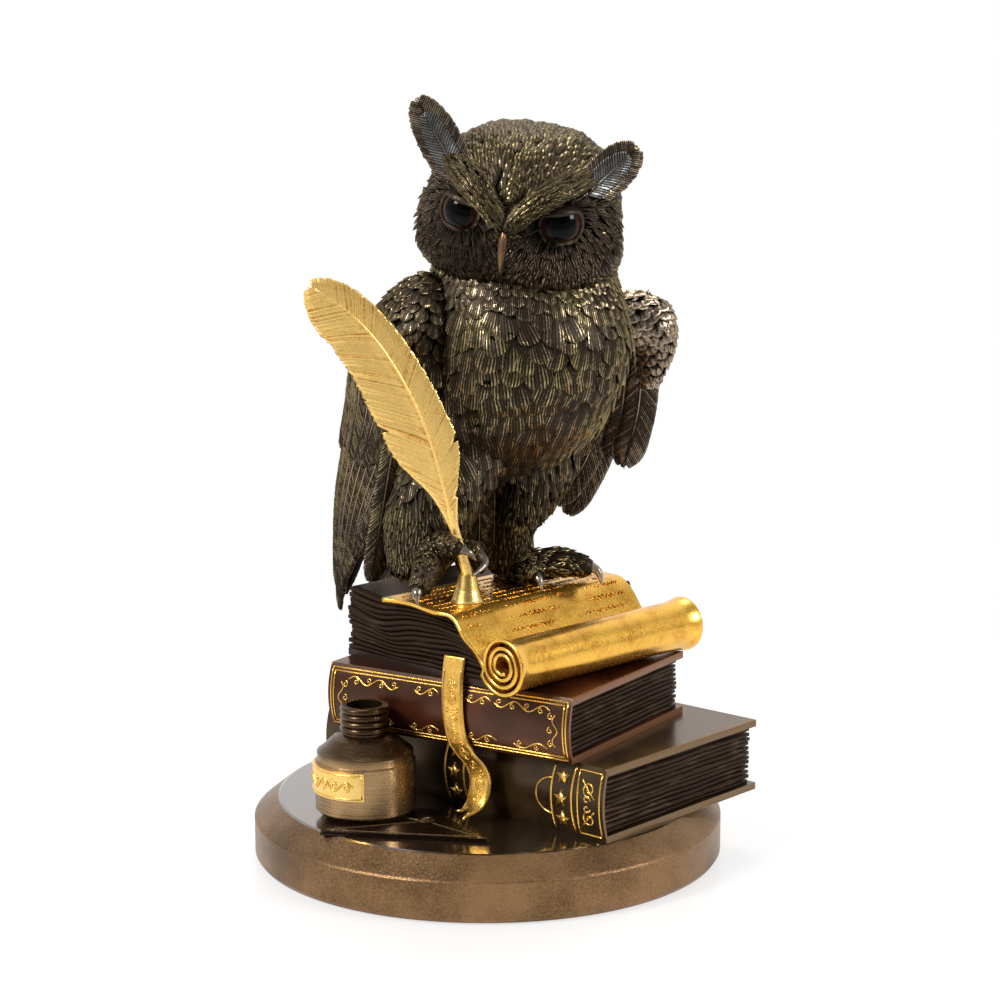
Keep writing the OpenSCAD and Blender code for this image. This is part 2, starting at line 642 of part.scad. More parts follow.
// Head sections: share of the height above the chin, how far back, shares of half width and half depth
head_rings = [[0, 3, 0.55, 0.55], [0.03, 2.4, 0.8, 0.78], [0.1, 1.5, 0.95, 0.92], [0.24, 0, 1, 0.99],
    [0.42, 0, 0.985, 1], [0.58, 1, 0.95, 0.98], [0.73, 2.4, 0.87, 0.9], [0.86, 3.4, 0.71, 0.74],
    [0.945, 4, 0.48, 0.5], [1, 4.4, 0.2, 0.22]];
eye_at = [14.2, -20.4, 0.5];
nose_at = [0, -30, -2.4];
beak_peg_r = 1.2;
tuft_foot = [20, -17, 8];
tuft_tips = [[33.4, -4, 23.4], [-34.2, -12, 30.4]];   // owl's left, owl's right
tuft_peg_r = 1.6;
tuft_peg_len = 9;
tuft_peg_up = 6;          // the peg's place along the tuft, from its foot

// Broad feathers that spread from the beak over crown and nape, clear of face, tufts and shoulders
crown_round = 12;
head_mid = [0, 3, chin_z + head_h * 0.45];
function crown_share(p) = let (x = abs(p.x))
    fade(norm([x, p.y, p.z] - tuft_foot), 13, 17)
    * max(fade(p.y, -18, -12), fade(p.z, 8 + 0.3 * x, 12 + 0.3 * x))
    * fade(p.z, -17, -13) * fade(p.z, chin_z + head_h * 0.995, chin_z + head_h * 0.96);
function feathered_point(p) = p + unit(p - head_mid) * tier_relief * crown_share(p)
    * tier_out(atan2(p.x, p.z - nose_at.z) * crown_round / 360, norm(p - nose_at) / tier_step);

module head_form(grow = 0, feathered = false) {
    rings = [for (r = curve(head_rings, 20))
        oval([0, r[1], chin_z + r[0] * head_h + (r[0] == 1 ? grow : 0)],
            r[2] * head_w / 2 + grow, r[3] * head_d / 2 + grow)];
    skin(feathered ? [for (r = rings) [for (p = finer_round(r)) feathered_point(p)]] : rings);
    for (side = [-1, 1])
        limb([[side * 1, -30, -2], [side * 8, -28.2, 5.4], [side * 15, -23.5, 9], [side * 22, -14.5, 12]],
            [2.6 + grow, 3.4 + grow, 3.4 + grow, 3 + grow], 12, 10);
}

module head() color(bronze) {
    difference() {
        cast() difference() {
            in_head() head_form(0, true);
            in_owl() torso_form(lay_gap);
        }
        in_head() {
            for (side = [-1, 1]) eyeball(side, lay_gap);
            beak_peg(glue_gap);
            for (side = [-1, 1]) tuft_peg(side, glue_gap);
        }
    }
    in_owl() translate([neck_at.x, neck_at.y, torso_h - neck_spigot_h + glue_gap])
        cylinder(r = spigot_r, h = neck_spigot_h + 4);
}

module eyeball(side, grow = 0) translate([side * eye_at.x, eye_at.y, eye_at.z]) rotate([90, 0, 0])
    sphere(r = eye_r + grow);
module left_eye() color("black") in_head() eyeball(1);
module right_eye() color("black") in_head() eyeball(-1);

module beak_peg(grow) translate(nose_at) rotate([-90, 0, 0]) translate([0, 0, -1.5])
    cylinder(r = beak_peg_r + grow, h = 6 + grow);
module beak() color(copper) in_head() {
    cast() difference() {
        limb([nose_at, nose_at + [0, -3.2, -1.6], nose_at + [0, -4, -beak_len * 0.6],
                nose_at + [0, -2, -beak_len]],
            [2.4, 2.5, 1.8, 0.3], 12, 10);
        head_form(glue_gap);
    }
    beak_peg(0);
}

function tuft_tip(side) = tuft_tips[side > 0 ? 0 : 1];
function tuft_base(side) = [side * tuft_foot.x, tuft_foot.y, tuft_foot.z];
function tuft_dir(side) = unit(tuft_tip(side) - tuft_base(side));
function tuft_face(side) = unit([side * 0.2, -1, 0.15]);
module tuft_peg(side, grow) let (d = -tuft_face(side))
    translate(tuft_base(side) + tuft_dir(side) * tuft_peg_up) rotate([0, acos(d.z), atan2(d.y, d.x)])
        cylinder(r = tuft_peg_r + grow, h = tuft_peg_len + grow);

module ear_tuft(side) color(bronze) in_head() {
    cast() difference() {
        blade(tuft_base(side) - tuft_dir(side) * 3, tuft_tip(side), tuft_w / 2, tuft_face(side), -1.2, 4.5, 12);
        head_form(glue_gap);
    }
    tuft_peg(side, 0);
}
module left_ear_tuft() ear_tuft(1);
module right_ear_tuft() ear_tuft(-1);

// ----- legs -----

rod_up = 34;              // rod's upper end above the perch
rod_down = 12;            // rod's lower end below the perch
module leg_rod_column(grow) translate([left_ankle.x, left_ankle.y, -rod_down - grow])
    cylinder(r = leg_rod_r + grow, h = rod_up + rod_down + 2 * grow);
module rod_bore() leg_rod_column(glue_gap);
module leg_rod() color("silver") in_owl() leg_rod_column(0);

module toe(p, r) limb(p, r, 10, 8);
module claw(p, r = 1.5) limb(p, [r, r * 0.75, 0.3], 8, 5);

module standing_leg() color(bronze) in_owl() difference() {
    cast() difference() {
        union() {
            limb([left_ankle + [0, 0, 2], left_ankle - [0, 0.2, 6], [-3, -1, -2]],
                [shin_r, shin_r * 0.96, shin_r], 18, 8);
            toe([[-3.5, -2, 5], [-5, -9, 6], [-5.5, -13, 4.4]], [4.4, 3.4, 2.4]);
            toe([[-2, -2.5, 5.6], [5, -11, 7.4], [11, -18, 6.2]], [4.6, 4, 3.2]);
            toe([[-1, -2, 5], [9, -6, 5.4], [17, -10.4, 4]], [4.4, 3.4, 2.6]);
            toe([[-3, 0, 4], [-1, 8, 3.4], [0.5, 13, 2.6]], [4.2, 3.2, 2.2]);
            claw([[-5.5, -12.6, 5], [-5.8, -15.2, 3.4], [-5.8, -16.2, 0.6]]);
            claw([[11, -17.6, 7], [13, -21.4, 5], [13.4, -22.8, 0.8]], 1.8);
            claw([[17, -10.2, 4.6], [20.4, -12, 3.4], [21.2, -12.6, 0.6]]);
            claw([[0.5, 12.6, 3], [1.2, 16, 2], [1.4, 17.4, 0.5]]);
        }
        translate([-60, -60, -19.98]) cube([120, 120, 20]);
        torso_form(glue_gap);
    }
    rod_bore();
}

module gripping_leg() color(bronze) cast() difference() {
    in_owl() {
        limb([[-35, 6, 15], [-36.5, 1.5, 15.4], [-37.4, -2.6, 14]], [5.6, 5.6, 5.2], 14, 8);
        toe([[-37.4, -1, 15.6], [-37.6, -6, 18.4], [-35.8, -11.4, 17.2]], [4.2, 3.6, 2.6]);
        toe([[-36.6, -1, 14], [-31, -4.6, 15.6], [-26.2, -9.8, 14.6]], [4.2, 3.2, 2.4]);
        toe([[-38, -1.5, 14], [-42, -3.6, 9.6], [-45.4, -5, 4.6]], [4.6, 4, 3.2]);
        claw([[-35.8, -11, 17], [-33.4, -14.2, 16], [-31.4, -15, 13.4]], 1.5);
        claw([[-26.4, -9.4, 14.8], [-27.4, -14.6, 11.8], [-33.4, -16.2, 8.8]], 1.7);
        claw([[-45.4, -4.8, 5], [-47.6, -6.4, 3.4], [-48, -7.4, 0.6]], 2);
    }
    in_owl() torso_form(glue_gap);
    translate([socket_at.x, socket_at.y, perch_z + socket_h]) quill_shaft(shaft_path(36), lay_gap);
}

felt_pad();
plinth();
letter();
wax_seal();
ink_bottle();
ink_label();
lower_book_cover();
lower_book_pages();
middle_book_cover();
middle_book_pages();
top_book_cover();
top_book_pages();
bookmark_ribbon();
scroll();
quill_socket();
quill();
torso();
head();
left_eye();
right_eye();
beak();
left_ear_tuft();
right_ear_tuft();
folded_wing();
raised_wing();
tail();
standing_leg();
gripping_leg();
stack_pins();
leg_rod();
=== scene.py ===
"""Looks of the owl figurine: plumage, bindings, gilding and patina round its castings."""

import itertools
import json
import logging
import math
from collections.abc import Callable, Sequence
from dataclasses import dataclass, field, replace
from enum import Enum

import bmesh
import bpy
import numpy as np
from bpy.types import Material, Mesh, Object
from mathutils import Matrix, Vector
from mathutils.bvhtree import BVHTree

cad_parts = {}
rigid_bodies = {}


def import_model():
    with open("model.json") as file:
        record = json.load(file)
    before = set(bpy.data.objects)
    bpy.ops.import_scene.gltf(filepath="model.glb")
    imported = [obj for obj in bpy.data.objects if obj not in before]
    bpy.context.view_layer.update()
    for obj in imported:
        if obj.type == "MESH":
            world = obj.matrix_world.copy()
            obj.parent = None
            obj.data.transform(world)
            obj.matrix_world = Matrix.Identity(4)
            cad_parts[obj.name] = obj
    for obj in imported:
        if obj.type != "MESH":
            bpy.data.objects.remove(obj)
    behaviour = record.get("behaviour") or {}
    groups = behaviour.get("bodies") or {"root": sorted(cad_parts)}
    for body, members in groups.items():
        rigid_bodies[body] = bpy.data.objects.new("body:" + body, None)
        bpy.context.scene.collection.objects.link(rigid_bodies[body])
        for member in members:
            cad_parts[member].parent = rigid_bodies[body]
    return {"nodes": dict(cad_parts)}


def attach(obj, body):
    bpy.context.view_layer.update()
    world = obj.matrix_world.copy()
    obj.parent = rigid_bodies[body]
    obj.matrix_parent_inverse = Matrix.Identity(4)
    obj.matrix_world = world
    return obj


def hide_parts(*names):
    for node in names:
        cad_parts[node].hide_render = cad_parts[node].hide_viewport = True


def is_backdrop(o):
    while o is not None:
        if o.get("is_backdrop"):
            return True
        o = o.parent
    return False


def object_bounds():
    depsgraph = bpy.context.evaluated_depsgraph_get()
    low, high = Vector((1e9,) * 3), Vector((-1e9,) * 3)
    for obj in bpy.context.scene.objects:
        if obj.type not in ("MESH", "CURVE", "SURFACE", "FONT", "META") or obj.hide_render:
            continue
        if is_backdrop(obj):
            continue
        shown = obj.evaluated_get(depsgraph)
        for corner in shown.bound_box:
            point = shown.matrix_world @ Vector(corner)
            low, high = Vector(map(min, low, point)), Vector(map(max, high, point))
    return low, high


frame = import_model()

LOG = logging.getLogger("owl_figurine")
MM = 0.001
ROOT = "root"
TUBE_AXIS = (0.31, 0.42, 0.85)
CANDIDATES = 9.0  # tried for each place where a feather may lie
Array = np.ndarray
Rng = np.random.Generator
Colour = tuple[float, float, float]
Reach = Callable[[Array], tuple[Array, Array]]


# ---------------------------------------------------------------- numbers and frames


def unit(v: Array) -> Array:
    """Vectors of length one, along the last axis."""
    v = np.asarray(v, float)
    return v / np.maximum(np.linalg.norm(v, axis=-1, keepdims=True), 1e-9)


def square_to(v: Array, way: Array) -> Array:
    """Directions near v, each square to a unit direction."""
    return unit(v - (v * way).sum(-1, keepdims=True) * way)


def smooth(low: float, high: float, x: Array) -> Array:
    """A smooth step from 0 at low to 1 at high."""
    t = np.clip((np.asarray(x, float) - low) / (high - low), 0, 1)
    return t * t * (3 - 2 * t)


def curve(points: Sequence, steps: int) -> Array:
    """A smooth curve through points.

    Args:
        points: values or points that it passes through.
        steps: how many steps it is cut into.

    Returns:
        steps + 1 points.
    """
    p = np.asarray(points, float)
    flat = p.ndim == 1
    p = p[:, None] if flat else p
    u = np.linspace(0, len(p) - 1, steps + 1)
    i = np.minimum(u.astype(int), len(p) - 2)
    t = (u - i)[:, None]
    a, b, c, d = p[np.maximum(i - 1, 0)], p[i], p[i + 1], p[np.minimum(i + 2, len(p) - 1)]
    out = 0.5 * (2 * b + (c - a) * t + (2 * a - 5 * b + 4 * c - d) * t**2 + (3 * b - a - 3 * c + d) * t**3)
    return out[:, 0] if flat else out


def headings(line: Array) -> Array:
    """The direction of a line at each of its points."""
    return unit(np.gradient(line, axis=0))


def lengths(line: Array) -> Array:
    """How far along a line each of its points lies."""
    return np.concatenate([[0], np.cumsum(np.linalg.norm(np.diff(line, axis=0), axis=1))])


def read(at: Array, along: Array, values: Array) -> Array:
    """Values along a line, one row for each entry of along, read at the places given."""
    return np.stack([np.interp(at, along, column) for column in values.T], -1)


def turned(axis: str, degrees: float) -> Array:
    """The matrix that turns vectors about an axis, X, Y or Z."""
    return np.array(Matrix.Rotation(math.radians(degrees), 3, axis))


@dataclass(frozen=True)
class Place:
    """A frame of one sub-assembly inside the figurine's frame, in millimetres."""

    turn: Array
    shift: Array

    def at(self, points: Array) -> Array:
        """Points of this frame, in the figurine's frame."""
        return np.asarray(points, float) @ self.turn.T + self.shift

    def way(self, vectors: Array) -> Array:
        """Directions of this frame, in the figurine's frame."""
        return np.asarray(vectors, float) @ self.turn.T

    def back(self, points: Array) -> Array:
        """Points of the figurine's frame, in this frame."""
        return (np.asarray(points, float) - self.shift) @ self.turn

    def inside(self, turn: Array, shift: Sequence[float]) -> "Place":
        """A frame given in this one, as a frame of the figurine."""
        return Place(self.turn @ turn, self.at(np.array(shift, float)))


LOWER = Place(turned("Z", 47.8), np.array([35.8, -57.8, 19.4]))
MIDDLE = Place(turned("Z", 57.6), np.array([25.6, -52.3, 42.4]))
TOP = Place(turned("Z", -45), np.array([-43.4, 4.2, 62.8]))
OWL = Place(turned("Z", 38), np.array([12.0, 10.0, 85.4]))
HEAD = OWL.inside(turned("Z", -47.5) @ turned("Y", 7.5) @ turned("X", 6), [-5.1, -6.2, 120.7])


# ---------------------------------------------------------------- meshes


class Shell:
    """Gathers the closed forms of one piece: points in millimetres, faces, texture places and rubbing."""

    def __init__(self) -> None:
        """Starts an empty shell."""
        self.points: list[Array] = []
        self.faces: list[tuple[int, ...]] = []
        self.places: list[Array] = []
        self.rubs: list[Array] = []
        self.tones: list[Array] = []
        self.count = 0

    def add(self, points: Array, faces: Sequence[tuple[int, ...]], place: Array | None = None,
            rub: Array | float = 0.5, tone: float = 0.5) -> None:
        """Adds one closed form.

        Args:
            points: its points, in millimetres of the figurine's frame.
            faces: its faces, as numbers of those points.
            place: texture places of the points, in tens of millimetres.
            rub: how far each point is rubbed bright, 0 to 1.
            tone: which patina the form takes, 0 to 1.
        """
        points = np.asarray(points, float).reshape(-1, 3)
        n = len(points)
        self.points.append(points)
        self.faces.extend(tuple(int(i) + self.count for i in f) for f in faces)
        self.places.append(np.zeros((n, 2)) if place is None else np.asarray(place, float).reshape(-1, 2))
        self.rubs.append(np.broadcast_to(np.asarray(rub, float).reshape(-1), (n,)))
        self.tones.append(np.full(n, tone))
        self.count += n

    def mesh(self, name: str) -> Mesh:
        """Makes the gathered forms one mesh.

        Args:
            name: its name.

        Returns:
            The mesh, in metres, with faces that look outwards.
        """
        mesh = bpy.data.meshes.new(name)
        mesh.from_pydata((np.vstack(self.points) * MM).tolist(), [], self.faces)
        bm = bmesh.new()
        bm.from_mesh(mesh)
        bmesh.ops.recalc_face_normals(bm, faces=bm.faces[:])
        bm.to_mesh(mesh)
        bm.free()
        corner = np.zeros(len(mesh.loops), np.int32)
        mesh.loops.foreach_get("vertex_index", corner)
        layer = mesh.uv_layers.new(name="UVMap")
        layer.data.foreach_set("uv", np.vstack(self.places)[corner].astype(np.float32).ravel())
        for key, values in (("rub", self.rubs), ("tone", self.tones)):
            attribute = mesh.attributes.new(key, "FLOAT", "POINT")
            attribute.data.foreach_set("value", np.concatenate(values).astype(np.float32))
        mesh.polygons.foreach_set("use_smooth", [True] * len(mesh.polygons))
        mesh.update()
        return mesh

    def piece(self, name: str, material: Material, slot: str, replaces: Sequence[str] = ()) -> Object:
        """Makes the gathered forms a piece that rides on the figurine.

        Args:
            name: the piece's name.
            material: its finish.
            slot: the material slot of the record that it stands for; not used.
            replaces: castings that it stands for.

        Returns:
            The piece.
        """
        return settle(bpy.data.objects.new(name, self.mesh(name)), material, slot, replaces)


def settle(piece: Object, material: Material, slot: str, replaces: Sequence[str] = ()) -> Object:
    """Links a piece, gives it its finish and makes it ride on the figurine.

    Args:
        piece: the piece, at the origin.
        material: its finish.
        slot: the material slot of the record that it stands for; not used.
        replaces: castings that it stands for.

    Returns:
        The piece.
    """
    piece.data.materials.clear()
    piece.data.materials.append(material)
    bpy.context.scene.collection.objects.link(piece)
    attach(piece, ROOT)
    if replaces:
        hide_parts(*replaces)
    piece.data.calc_loop_triangles()
    LOG.info("%s: %d triangles", piece.name, len(piece.data.loop_triangles))
    return piece


def quads(n: Array) -> list[tuple[int, ...]]:
    """Faces between neighbouring rows and columns of a table of point numbers."""
    return [(n[i, j], n[i, j + 1], n[i + 1, j + 1], n[i + 1, j])
            for i in range(n.shape[0] - 1) for j in range(n.shape[1] - 1)]


def closed_sheet(shell: Shell, over: Array, below: Array, place: Array, rub: Array,
                 tone: float = 0.5) -> None:
    """Adds a closed sheet from the points of its two sides.

    Args:
        shell: where it goes.
        over: points of its upper side, rows by columns by 3.
        below: points of its lower side.
        place: texture places, rows by columns by 2.
        rub: rubbing, rows by columns.
        tone: its patina.
    """
    rows, cols = over.shape[:2]
    top = np.arange(rows * cols).reshape(rows, cols)
    low = top + rows * cols
    faces = quads(top) + [f[::-1] for f in quads(low)]
    rim = [(i, 0) for i in range(rows)] + [(rows - 1, j) for j in range(1, cols)]
    rim += [(i, cols - 1) for i in range(rows - 2, -1, -1)] + [(0, j) for j in range(cols - 2, 0, -1)]
    for a, b in zip(rim, rim[1:] + rim[:1]):
        faces.append((top[a], low[a], low[b], top[b]))
    shell.add(np.concatenate([over.reshape(-1, 3), below.reshape(-1, 3)]), faces,
              np.concatenate([place.reshape(-1, 2)] * 2), np.concatenate([rub.reshape(-1)] * 2), tone)


def ring_faces(rings: int, sides: int) -> list[tuple[int, ...]]:
    """Faces of a closed limb whose points are numbered ring by ring."""
    number = np.arange(rings * sides).reshape(rings, sides)
    return quads(np.hstack([number, number[:, :1]])) + [tuple(number[0][::-1]), tuple(number[-1])]


def tube(shell: Shell, line: Array, radii: Array | float, sides: int = 6, rub: float = 0.95,
         tone: float = 0.5) -> None:
    """Adds a closed limb along a line.

    Args:
        shell: where it goes.
        line: the points that its middle follows.
        radii: its radius, or one for each point.
        sides: points round it.
        rub: its rubbing.
        tone: its patina.
    """
    n = len(line)
    radii, ahead = np.broadcast_to(radii, (n,)), headings(line)
    axis = np.array(TUBE_AXIS)
    if abs(unit(axis) @ ahead[0]) > 0.9:
        axis = np.array([1.0, 0.0, 0.0])
    rings, angle = [], np.arange(sides) * 2 * math.pi / sides
    for point, radius, way in zip(line, radii, ahead):
        axis = square_to(axis, way)
        other = np.cross(way, axis)
        rings.append(point + radius * (np.cos(angle)[:, None] * axis + np.sin(angle)[:, None] * other))
    place = np.stack([np.broadcast_to(angle / 6.3, (n, sides)),
                      np.repeat(lengths(line)[:, None] / 10, sides, 1)], -1)
    shell.add(np.concatenate(rings), ring_faces(n, sides), place, rub, tone)


def rounded(line: Array, radii: Array) -> tuple[Array, Array]:
    """Gives a limb rounded ends.

    Args:
        line: the points that its middle follows.
        radii: its radius at each of them.

    Returns:
        The line and the radii with two more points at each end.
    """
    bend, ahead = np.radians([40, 75]), headings(line)
    start = line[0] - ahead[0] * (radii[0] * np.sin(bend))[:, None] * 0.8
    end = line[-1] + ahead[-1] * (radii[-1] * np.sin(bend))[:, None] * 0.8
    small = radii[0] * np.cos(bend[::-1]), radii[-1] * np.cos(bend)
    return np.vstack([start[::-1], line, end]), np.concatenate([small[0], radii, small[1]])


@dataclass(frozen=True)
class VaneForm:
    """How a large feather's vane is made: lengths in millimetres, the last three as shares."""

    pitch: float = 1.15
    slant: float = 1.5
    relief: float = 0.22
    thick: float = 1.0
    crown: float = 0.8
    shaft: float = 0.4
    columns: int = 5
    ragged: float = 0.04
    uneven: float = 0.3
    wear: float = 0.0


def round_tip(u: Array, bend: float, least: float = 0.01, past: float = 0.002) -> Array:
    """The share of its width that a feather keeps at shares u of its length, round after bend."""
    return np.where(u < bend, 1, np.sqrt(np.clip(1 - ((u - bend) / (1 - bend + past)) ** 2, least, 1)))


def long_feather(wide: float, end: float, root: float, rise: float, bend: float, inner: float) -> Reach:
    """Makes the rule for a long feather's half widths.

    Args:
        wide: the outer one near its root, in millimetres.
        end: the outer one near its tip.
        root: its share at the root.
        rise: how fast it widens from there.
        bend: where its round tip starts, as a share of the length.
        inner: the inner side's share of the outer one.

    Returns:
        What gives both half widths for shares of the length.
    """

    def reach(u: Array) -> tuple[Array, Array]:
        """Half widths to both sides at shares u of the length."""
        w = (wide + (end - wide) * u) * np.minimum(1, root + rise * u) * round_tip(u, bend)
        return w, w * inner

    return reach


def vane(shell: Shell, guide: Array, outward: Array, reach: Reach, form: VaneForm, rng: Rng,
         tone: float = 0.5, notches: Sequence[tuple[int, float, float]] = ()) -> None:
    """Adds one feather with a shaft and slanting barbs.

    Args:
        shell: where it goes.
        guide: points from root to tip that its shaft follows.
        outward: the way its outer side looks, one for all of them or one for each.
        reach: gives its left and right half widths for shares of its length.
        form: its making.
        rng: the source of its small unevenness.
        tone: its patina.
        notches: gaps in its rim, as side, share of the length and depth.
    """
    line, faces_out = curve(guide, 48), unit(curve(np.broadcast_to(outward, np.shape(guide)), 48))
    along, ahead = lengths(line), headings(line)
    length = along[-1]

    def sample(s: Array) -> tuple[Array, Array, Array]:
        """Reads the shaft."""
        inside = np.clip(s, 0, length)
        point, t, n = (read(inside, along, values) for values in (line, ahead, faces_out))
        t = unit(t)
        return point + t * (s - inside)[..., None], t, square_to(n, t)

    rows = 2 * max(6, math.ceil(length / form.pitch)) + 1
    s_row = np.linspace(0, length * 0.985, rows)
    q = np.linspace(-1, 1, 2 * form.columns + 1)
    q = np.sign(q) * np.abs(q) ** 0.85
    widths = []
    for index in (0, 1):
        w = np.array(reach(s_row / length)[index])
        for _ in range(12):
            s_rim = (s_row + form.slant * w) / length
            w = 0.5 * w + 0.5 * np.where(s_rim < 1, reach(np.clip(s_rim, 0, 1))[index], 0)
        w = w * (1 + np.repeat(rng.uniform(-form.ragged, form.ragged, rows // 2 + 1), 2)[:rows])
        for side, share, depth in notches:
            if side == index:
                gap = np.abs(s_row / length - share) * length / (form.pitch * 1.6)
                w = w * (1 - depth * np.clip(1 - gap, 0, 1))
        widths.append(np.maximum(w, 0.12))
    w = np.where(q[None, :] < 0, widths[0][:, None], widths[1][:, None]) * np.abs(q)[None, :]
    point, t, n = sample(s_row[:, None] + form.slant * w)
    across = np.cross(t, n)
    sheet = point + across * (np.sign(q) * w)[..., None]
    inner = np.clip(1 - np.abs(q), 0, 1)[None, :]
    barb = np.repeat(rng.uniform(1 - form.uneven, 1 + form.uneven, rows // 2 + 1), 2)[:rows, None]
    comb = np.where(np.arange(rows) % 2, 1.0, -1.0)[:, None]
    ridge = form.relief * barb * comb * np.clip(np.abs(q) * 4, 0, 1)
    lift = form.crown * (1 - q**2)[None, :] + np.zeros((rows, 1))
    fine = np.minimum(1, w.max(1) / 1.5)[:, None]
    half = form.thick / 2 * np.minimum(1, inner * 3) + 0.05
    over = sheet + n * (lift + (half + ridge) * fine)[..., None]
    below = sheet + n * (lift - (half + ridge * 0.8) * fine)[..., None]
    rub = form.wear + 0.58 * (ridge > 0) * barb + 0.3 * (np.abs(q)[None, :] > 0.95) + 0.14 * barb + 0 * w
    place = np.stack([q * w, np.broadcast_to(s_row[:, None], w.shape)], -1) / 10
    closed_sheet(shell, over, below, place, rub, tone)
    spine, _, face = sample(np.linspace(0, length * 0.97, 26))
    radii = form.shaft * np.linspace(1, 0.35, 26)
    tube(shell, spine + face * (form.crown + form.thick * 0.35), radii, 8, 0.9, tone)
    tube(shell, spine + face * (form.crown - form.thick * 0.35), radii * 0.8, 6, 0.7, tone)


# ---------------------------------------------------------------- material graphs


class Sock:
    """An output of a material's graph, with the arithmetic that patterns are written in."""

    def __init__(self, graph: "Graph", socket: bpy.types.NodeSocket) -> None:
        """Wraps a socket of a graph."""
        self.graph, self.socket = graph, socket

    def math(self, operation: str, *others: "Sock | float") -> "Sock":
        """A Math node on this value and others."""
        return self.graph.node("ShaderNodeMath", {"operation": operation}, dict(enumerate((self, *others))))

    def __add__(self, other: "Sock | float") -> "Sock":
        """Sum."""
        return self.math("ADD", other)

    __radd__ = __add__

    def __mul__(self, other: "Sock | float") -> "Sock":
        """Product."""
        return self.math("MULTIPLY", other)

    __rmul__ = __mul__

    def __sub__(self, other: "Sock | float") -> "Sock":
        """Difference."""
        return self.math("SUBTRACT", other)

    def __rsub__(self, other: float) -> "Sock":
        """Difference from a number."""
        return self.graph.node("ShaderNodeMath", {"operation": "SUBTRACT"}, {0: other, 1: self})

    def __truediv__(self, other: "Sock | float") -> "Sock":
        """Quotient."""
        return self.math("DIVIDE", other)

    def __pow__(self, other: float) -> "Sock":
        """Power."""
        return self.math("POWER", other)

    def step(self, low: float, high: float) -> "Sock":
        """A smooth step from 0 at low to 1 at high."""
        return self.graph.node("ShaderNodeMapRange", {"interpolation_type": "SMOOTHSTEP"},
                               {"Value": self, "From Min": low, "From Max": high})


class Graph:
    """The node graph of a finish, of the surround or of the tree that lays feathers."""

    def __init__(self, owner: str | bpy.types.World | bpy.types.NodeTree) -> None:
        """Starts an empty graph.

        Args:
            owner: the name of a new material, or the world or the tree that it is for.
        """
        self.owner = bpy.data.materials.new(owner) if isinstance(owner, str) else owner
        if isinstance(owner, bpy.types.NodeTree):
            self.tree = owner
        else:
            self.owner.use_nodes = True
            self.tree = self.owner.node_tree
        self.tree.nodes.clear()

    def raw(self, kind: str, settings: dict | None = None, sockets: dict | None = None) -> bpy.types.Node:
        """Adds a node.

        Args:
            kind: the node's type.
            settings: its own settings, set first. "stops" are a ramp's places and colours.
            sockets: the values or links of its inputs, by name or number.

        Returns:
            The node.
        """
        node = self.tree.nodes.new(kind)
        for key, value in (settings or {}).items():
            if key == "stops":
                for k, (place, colour) in enumerate(value):
                    stop = node.color_ramp.elements[k] if k < 2 else node.color_ramp.elements.new(place)
                    stop.position, stop.color = place, colour
            else:
                setattr(node, key, value)
        for key, value in (sockets or {}).items():
            if isinstance(value, Sock):
                self.tree.links.new(value.socket, node.inputs[key])
            else:
                node.inputs[key].default_value = value
        return node

    def node(self, kind: str, settings: dict | None = None, sockets: dict | None = None,
             output: int | str = 0) -> Sock:
        """Adds a node as raw does, and gives one of its outputs."""
        return Sock(self, self.raw(kind, settings, sockets).outputs[output])

    def place(self) -> Sock:
        """The point on the object, in metres."""
        return self.node("ShaderNodeTexCoord", output="Object")

    def attribute(self, name: str) -> Sock:
        """A value that the mesh carries."""
        return self.node("ShaderNodeAttribute", {"attribute_name": name}, output="Fac")

    def height(self) -> Sock:
        """How high the point on the object is, in metres."""
        return self.node("ShaderNodeSeparateXYZ", None, {0: self.place()}, "Z")

    def noise(self, size: float, detail: float = 3.0, stretch: Colour | None = None) -> Sock:
        """A cloudy pattern.

        Args:
            size: how wide its patches are, in millimetres.
            detail: how many finer patterns it holds.
            stretch: how many times as long they are along x, y and z.

        Returns:
            Its value, 0 to 1.
        """
        at = self.place()
        if stretch:
            at = self.node("ShaderNodeMapping", {"vector_type": "TEXTURE"}, {"Vector": at, "Scale": stretch})
        return self.node("ShaderNodeTexNoise", None,
                         {"Vector": at, "Scale": 1 / (size * MM), "Detail": detail, "Roughness": 0.55})

    def mix(self, factor: "Sock | float", first: "Sock | Colour", second: "Sock | Colour") -> Sock:
        """A colour between two others.

        Args:
            factor: 0 for the first, 1 for the second.
            first: a colour.
            second: another.

        Returns:
            The mixed colour.
        """
        values = {0: factor}
        for key, colour in ((6, first), (7, second)):
            values[key] = colour if isinstance(colour, Sock) else (*colour, 1)
        return self.node("ShaderNodeMix", {"data_type": "RGBA"}, values, 2)

    def bump(self, height: Sock, depth: float, strength: float) -> Sock:
        """A bumped normal, with depth in millimetres."""
        return self.node("ShaderNodeBump", None,
                         {"Height": height, "Distance": depth * MM, "Strength": strength})

    def shade(self, **sockets: "Sock | float | Colour") -> Material:
        """Ends the graph in one Principled shader.

        Args:
            sockets: its inputs, with _ for a space.

        Returns:
            The material.
        """
        values = {}
        for key, value in sockets.items():
            name = key.replace("_", " ")
            values[name] = (*value, 1) if isinstance(value, tuple) and len(value) == 3 else value
        self.raw("ShaderNodeOutputMaterial", None, {0: self.node("ShaderNodeBsdfPrincipled", None, values)})
        return self.owner


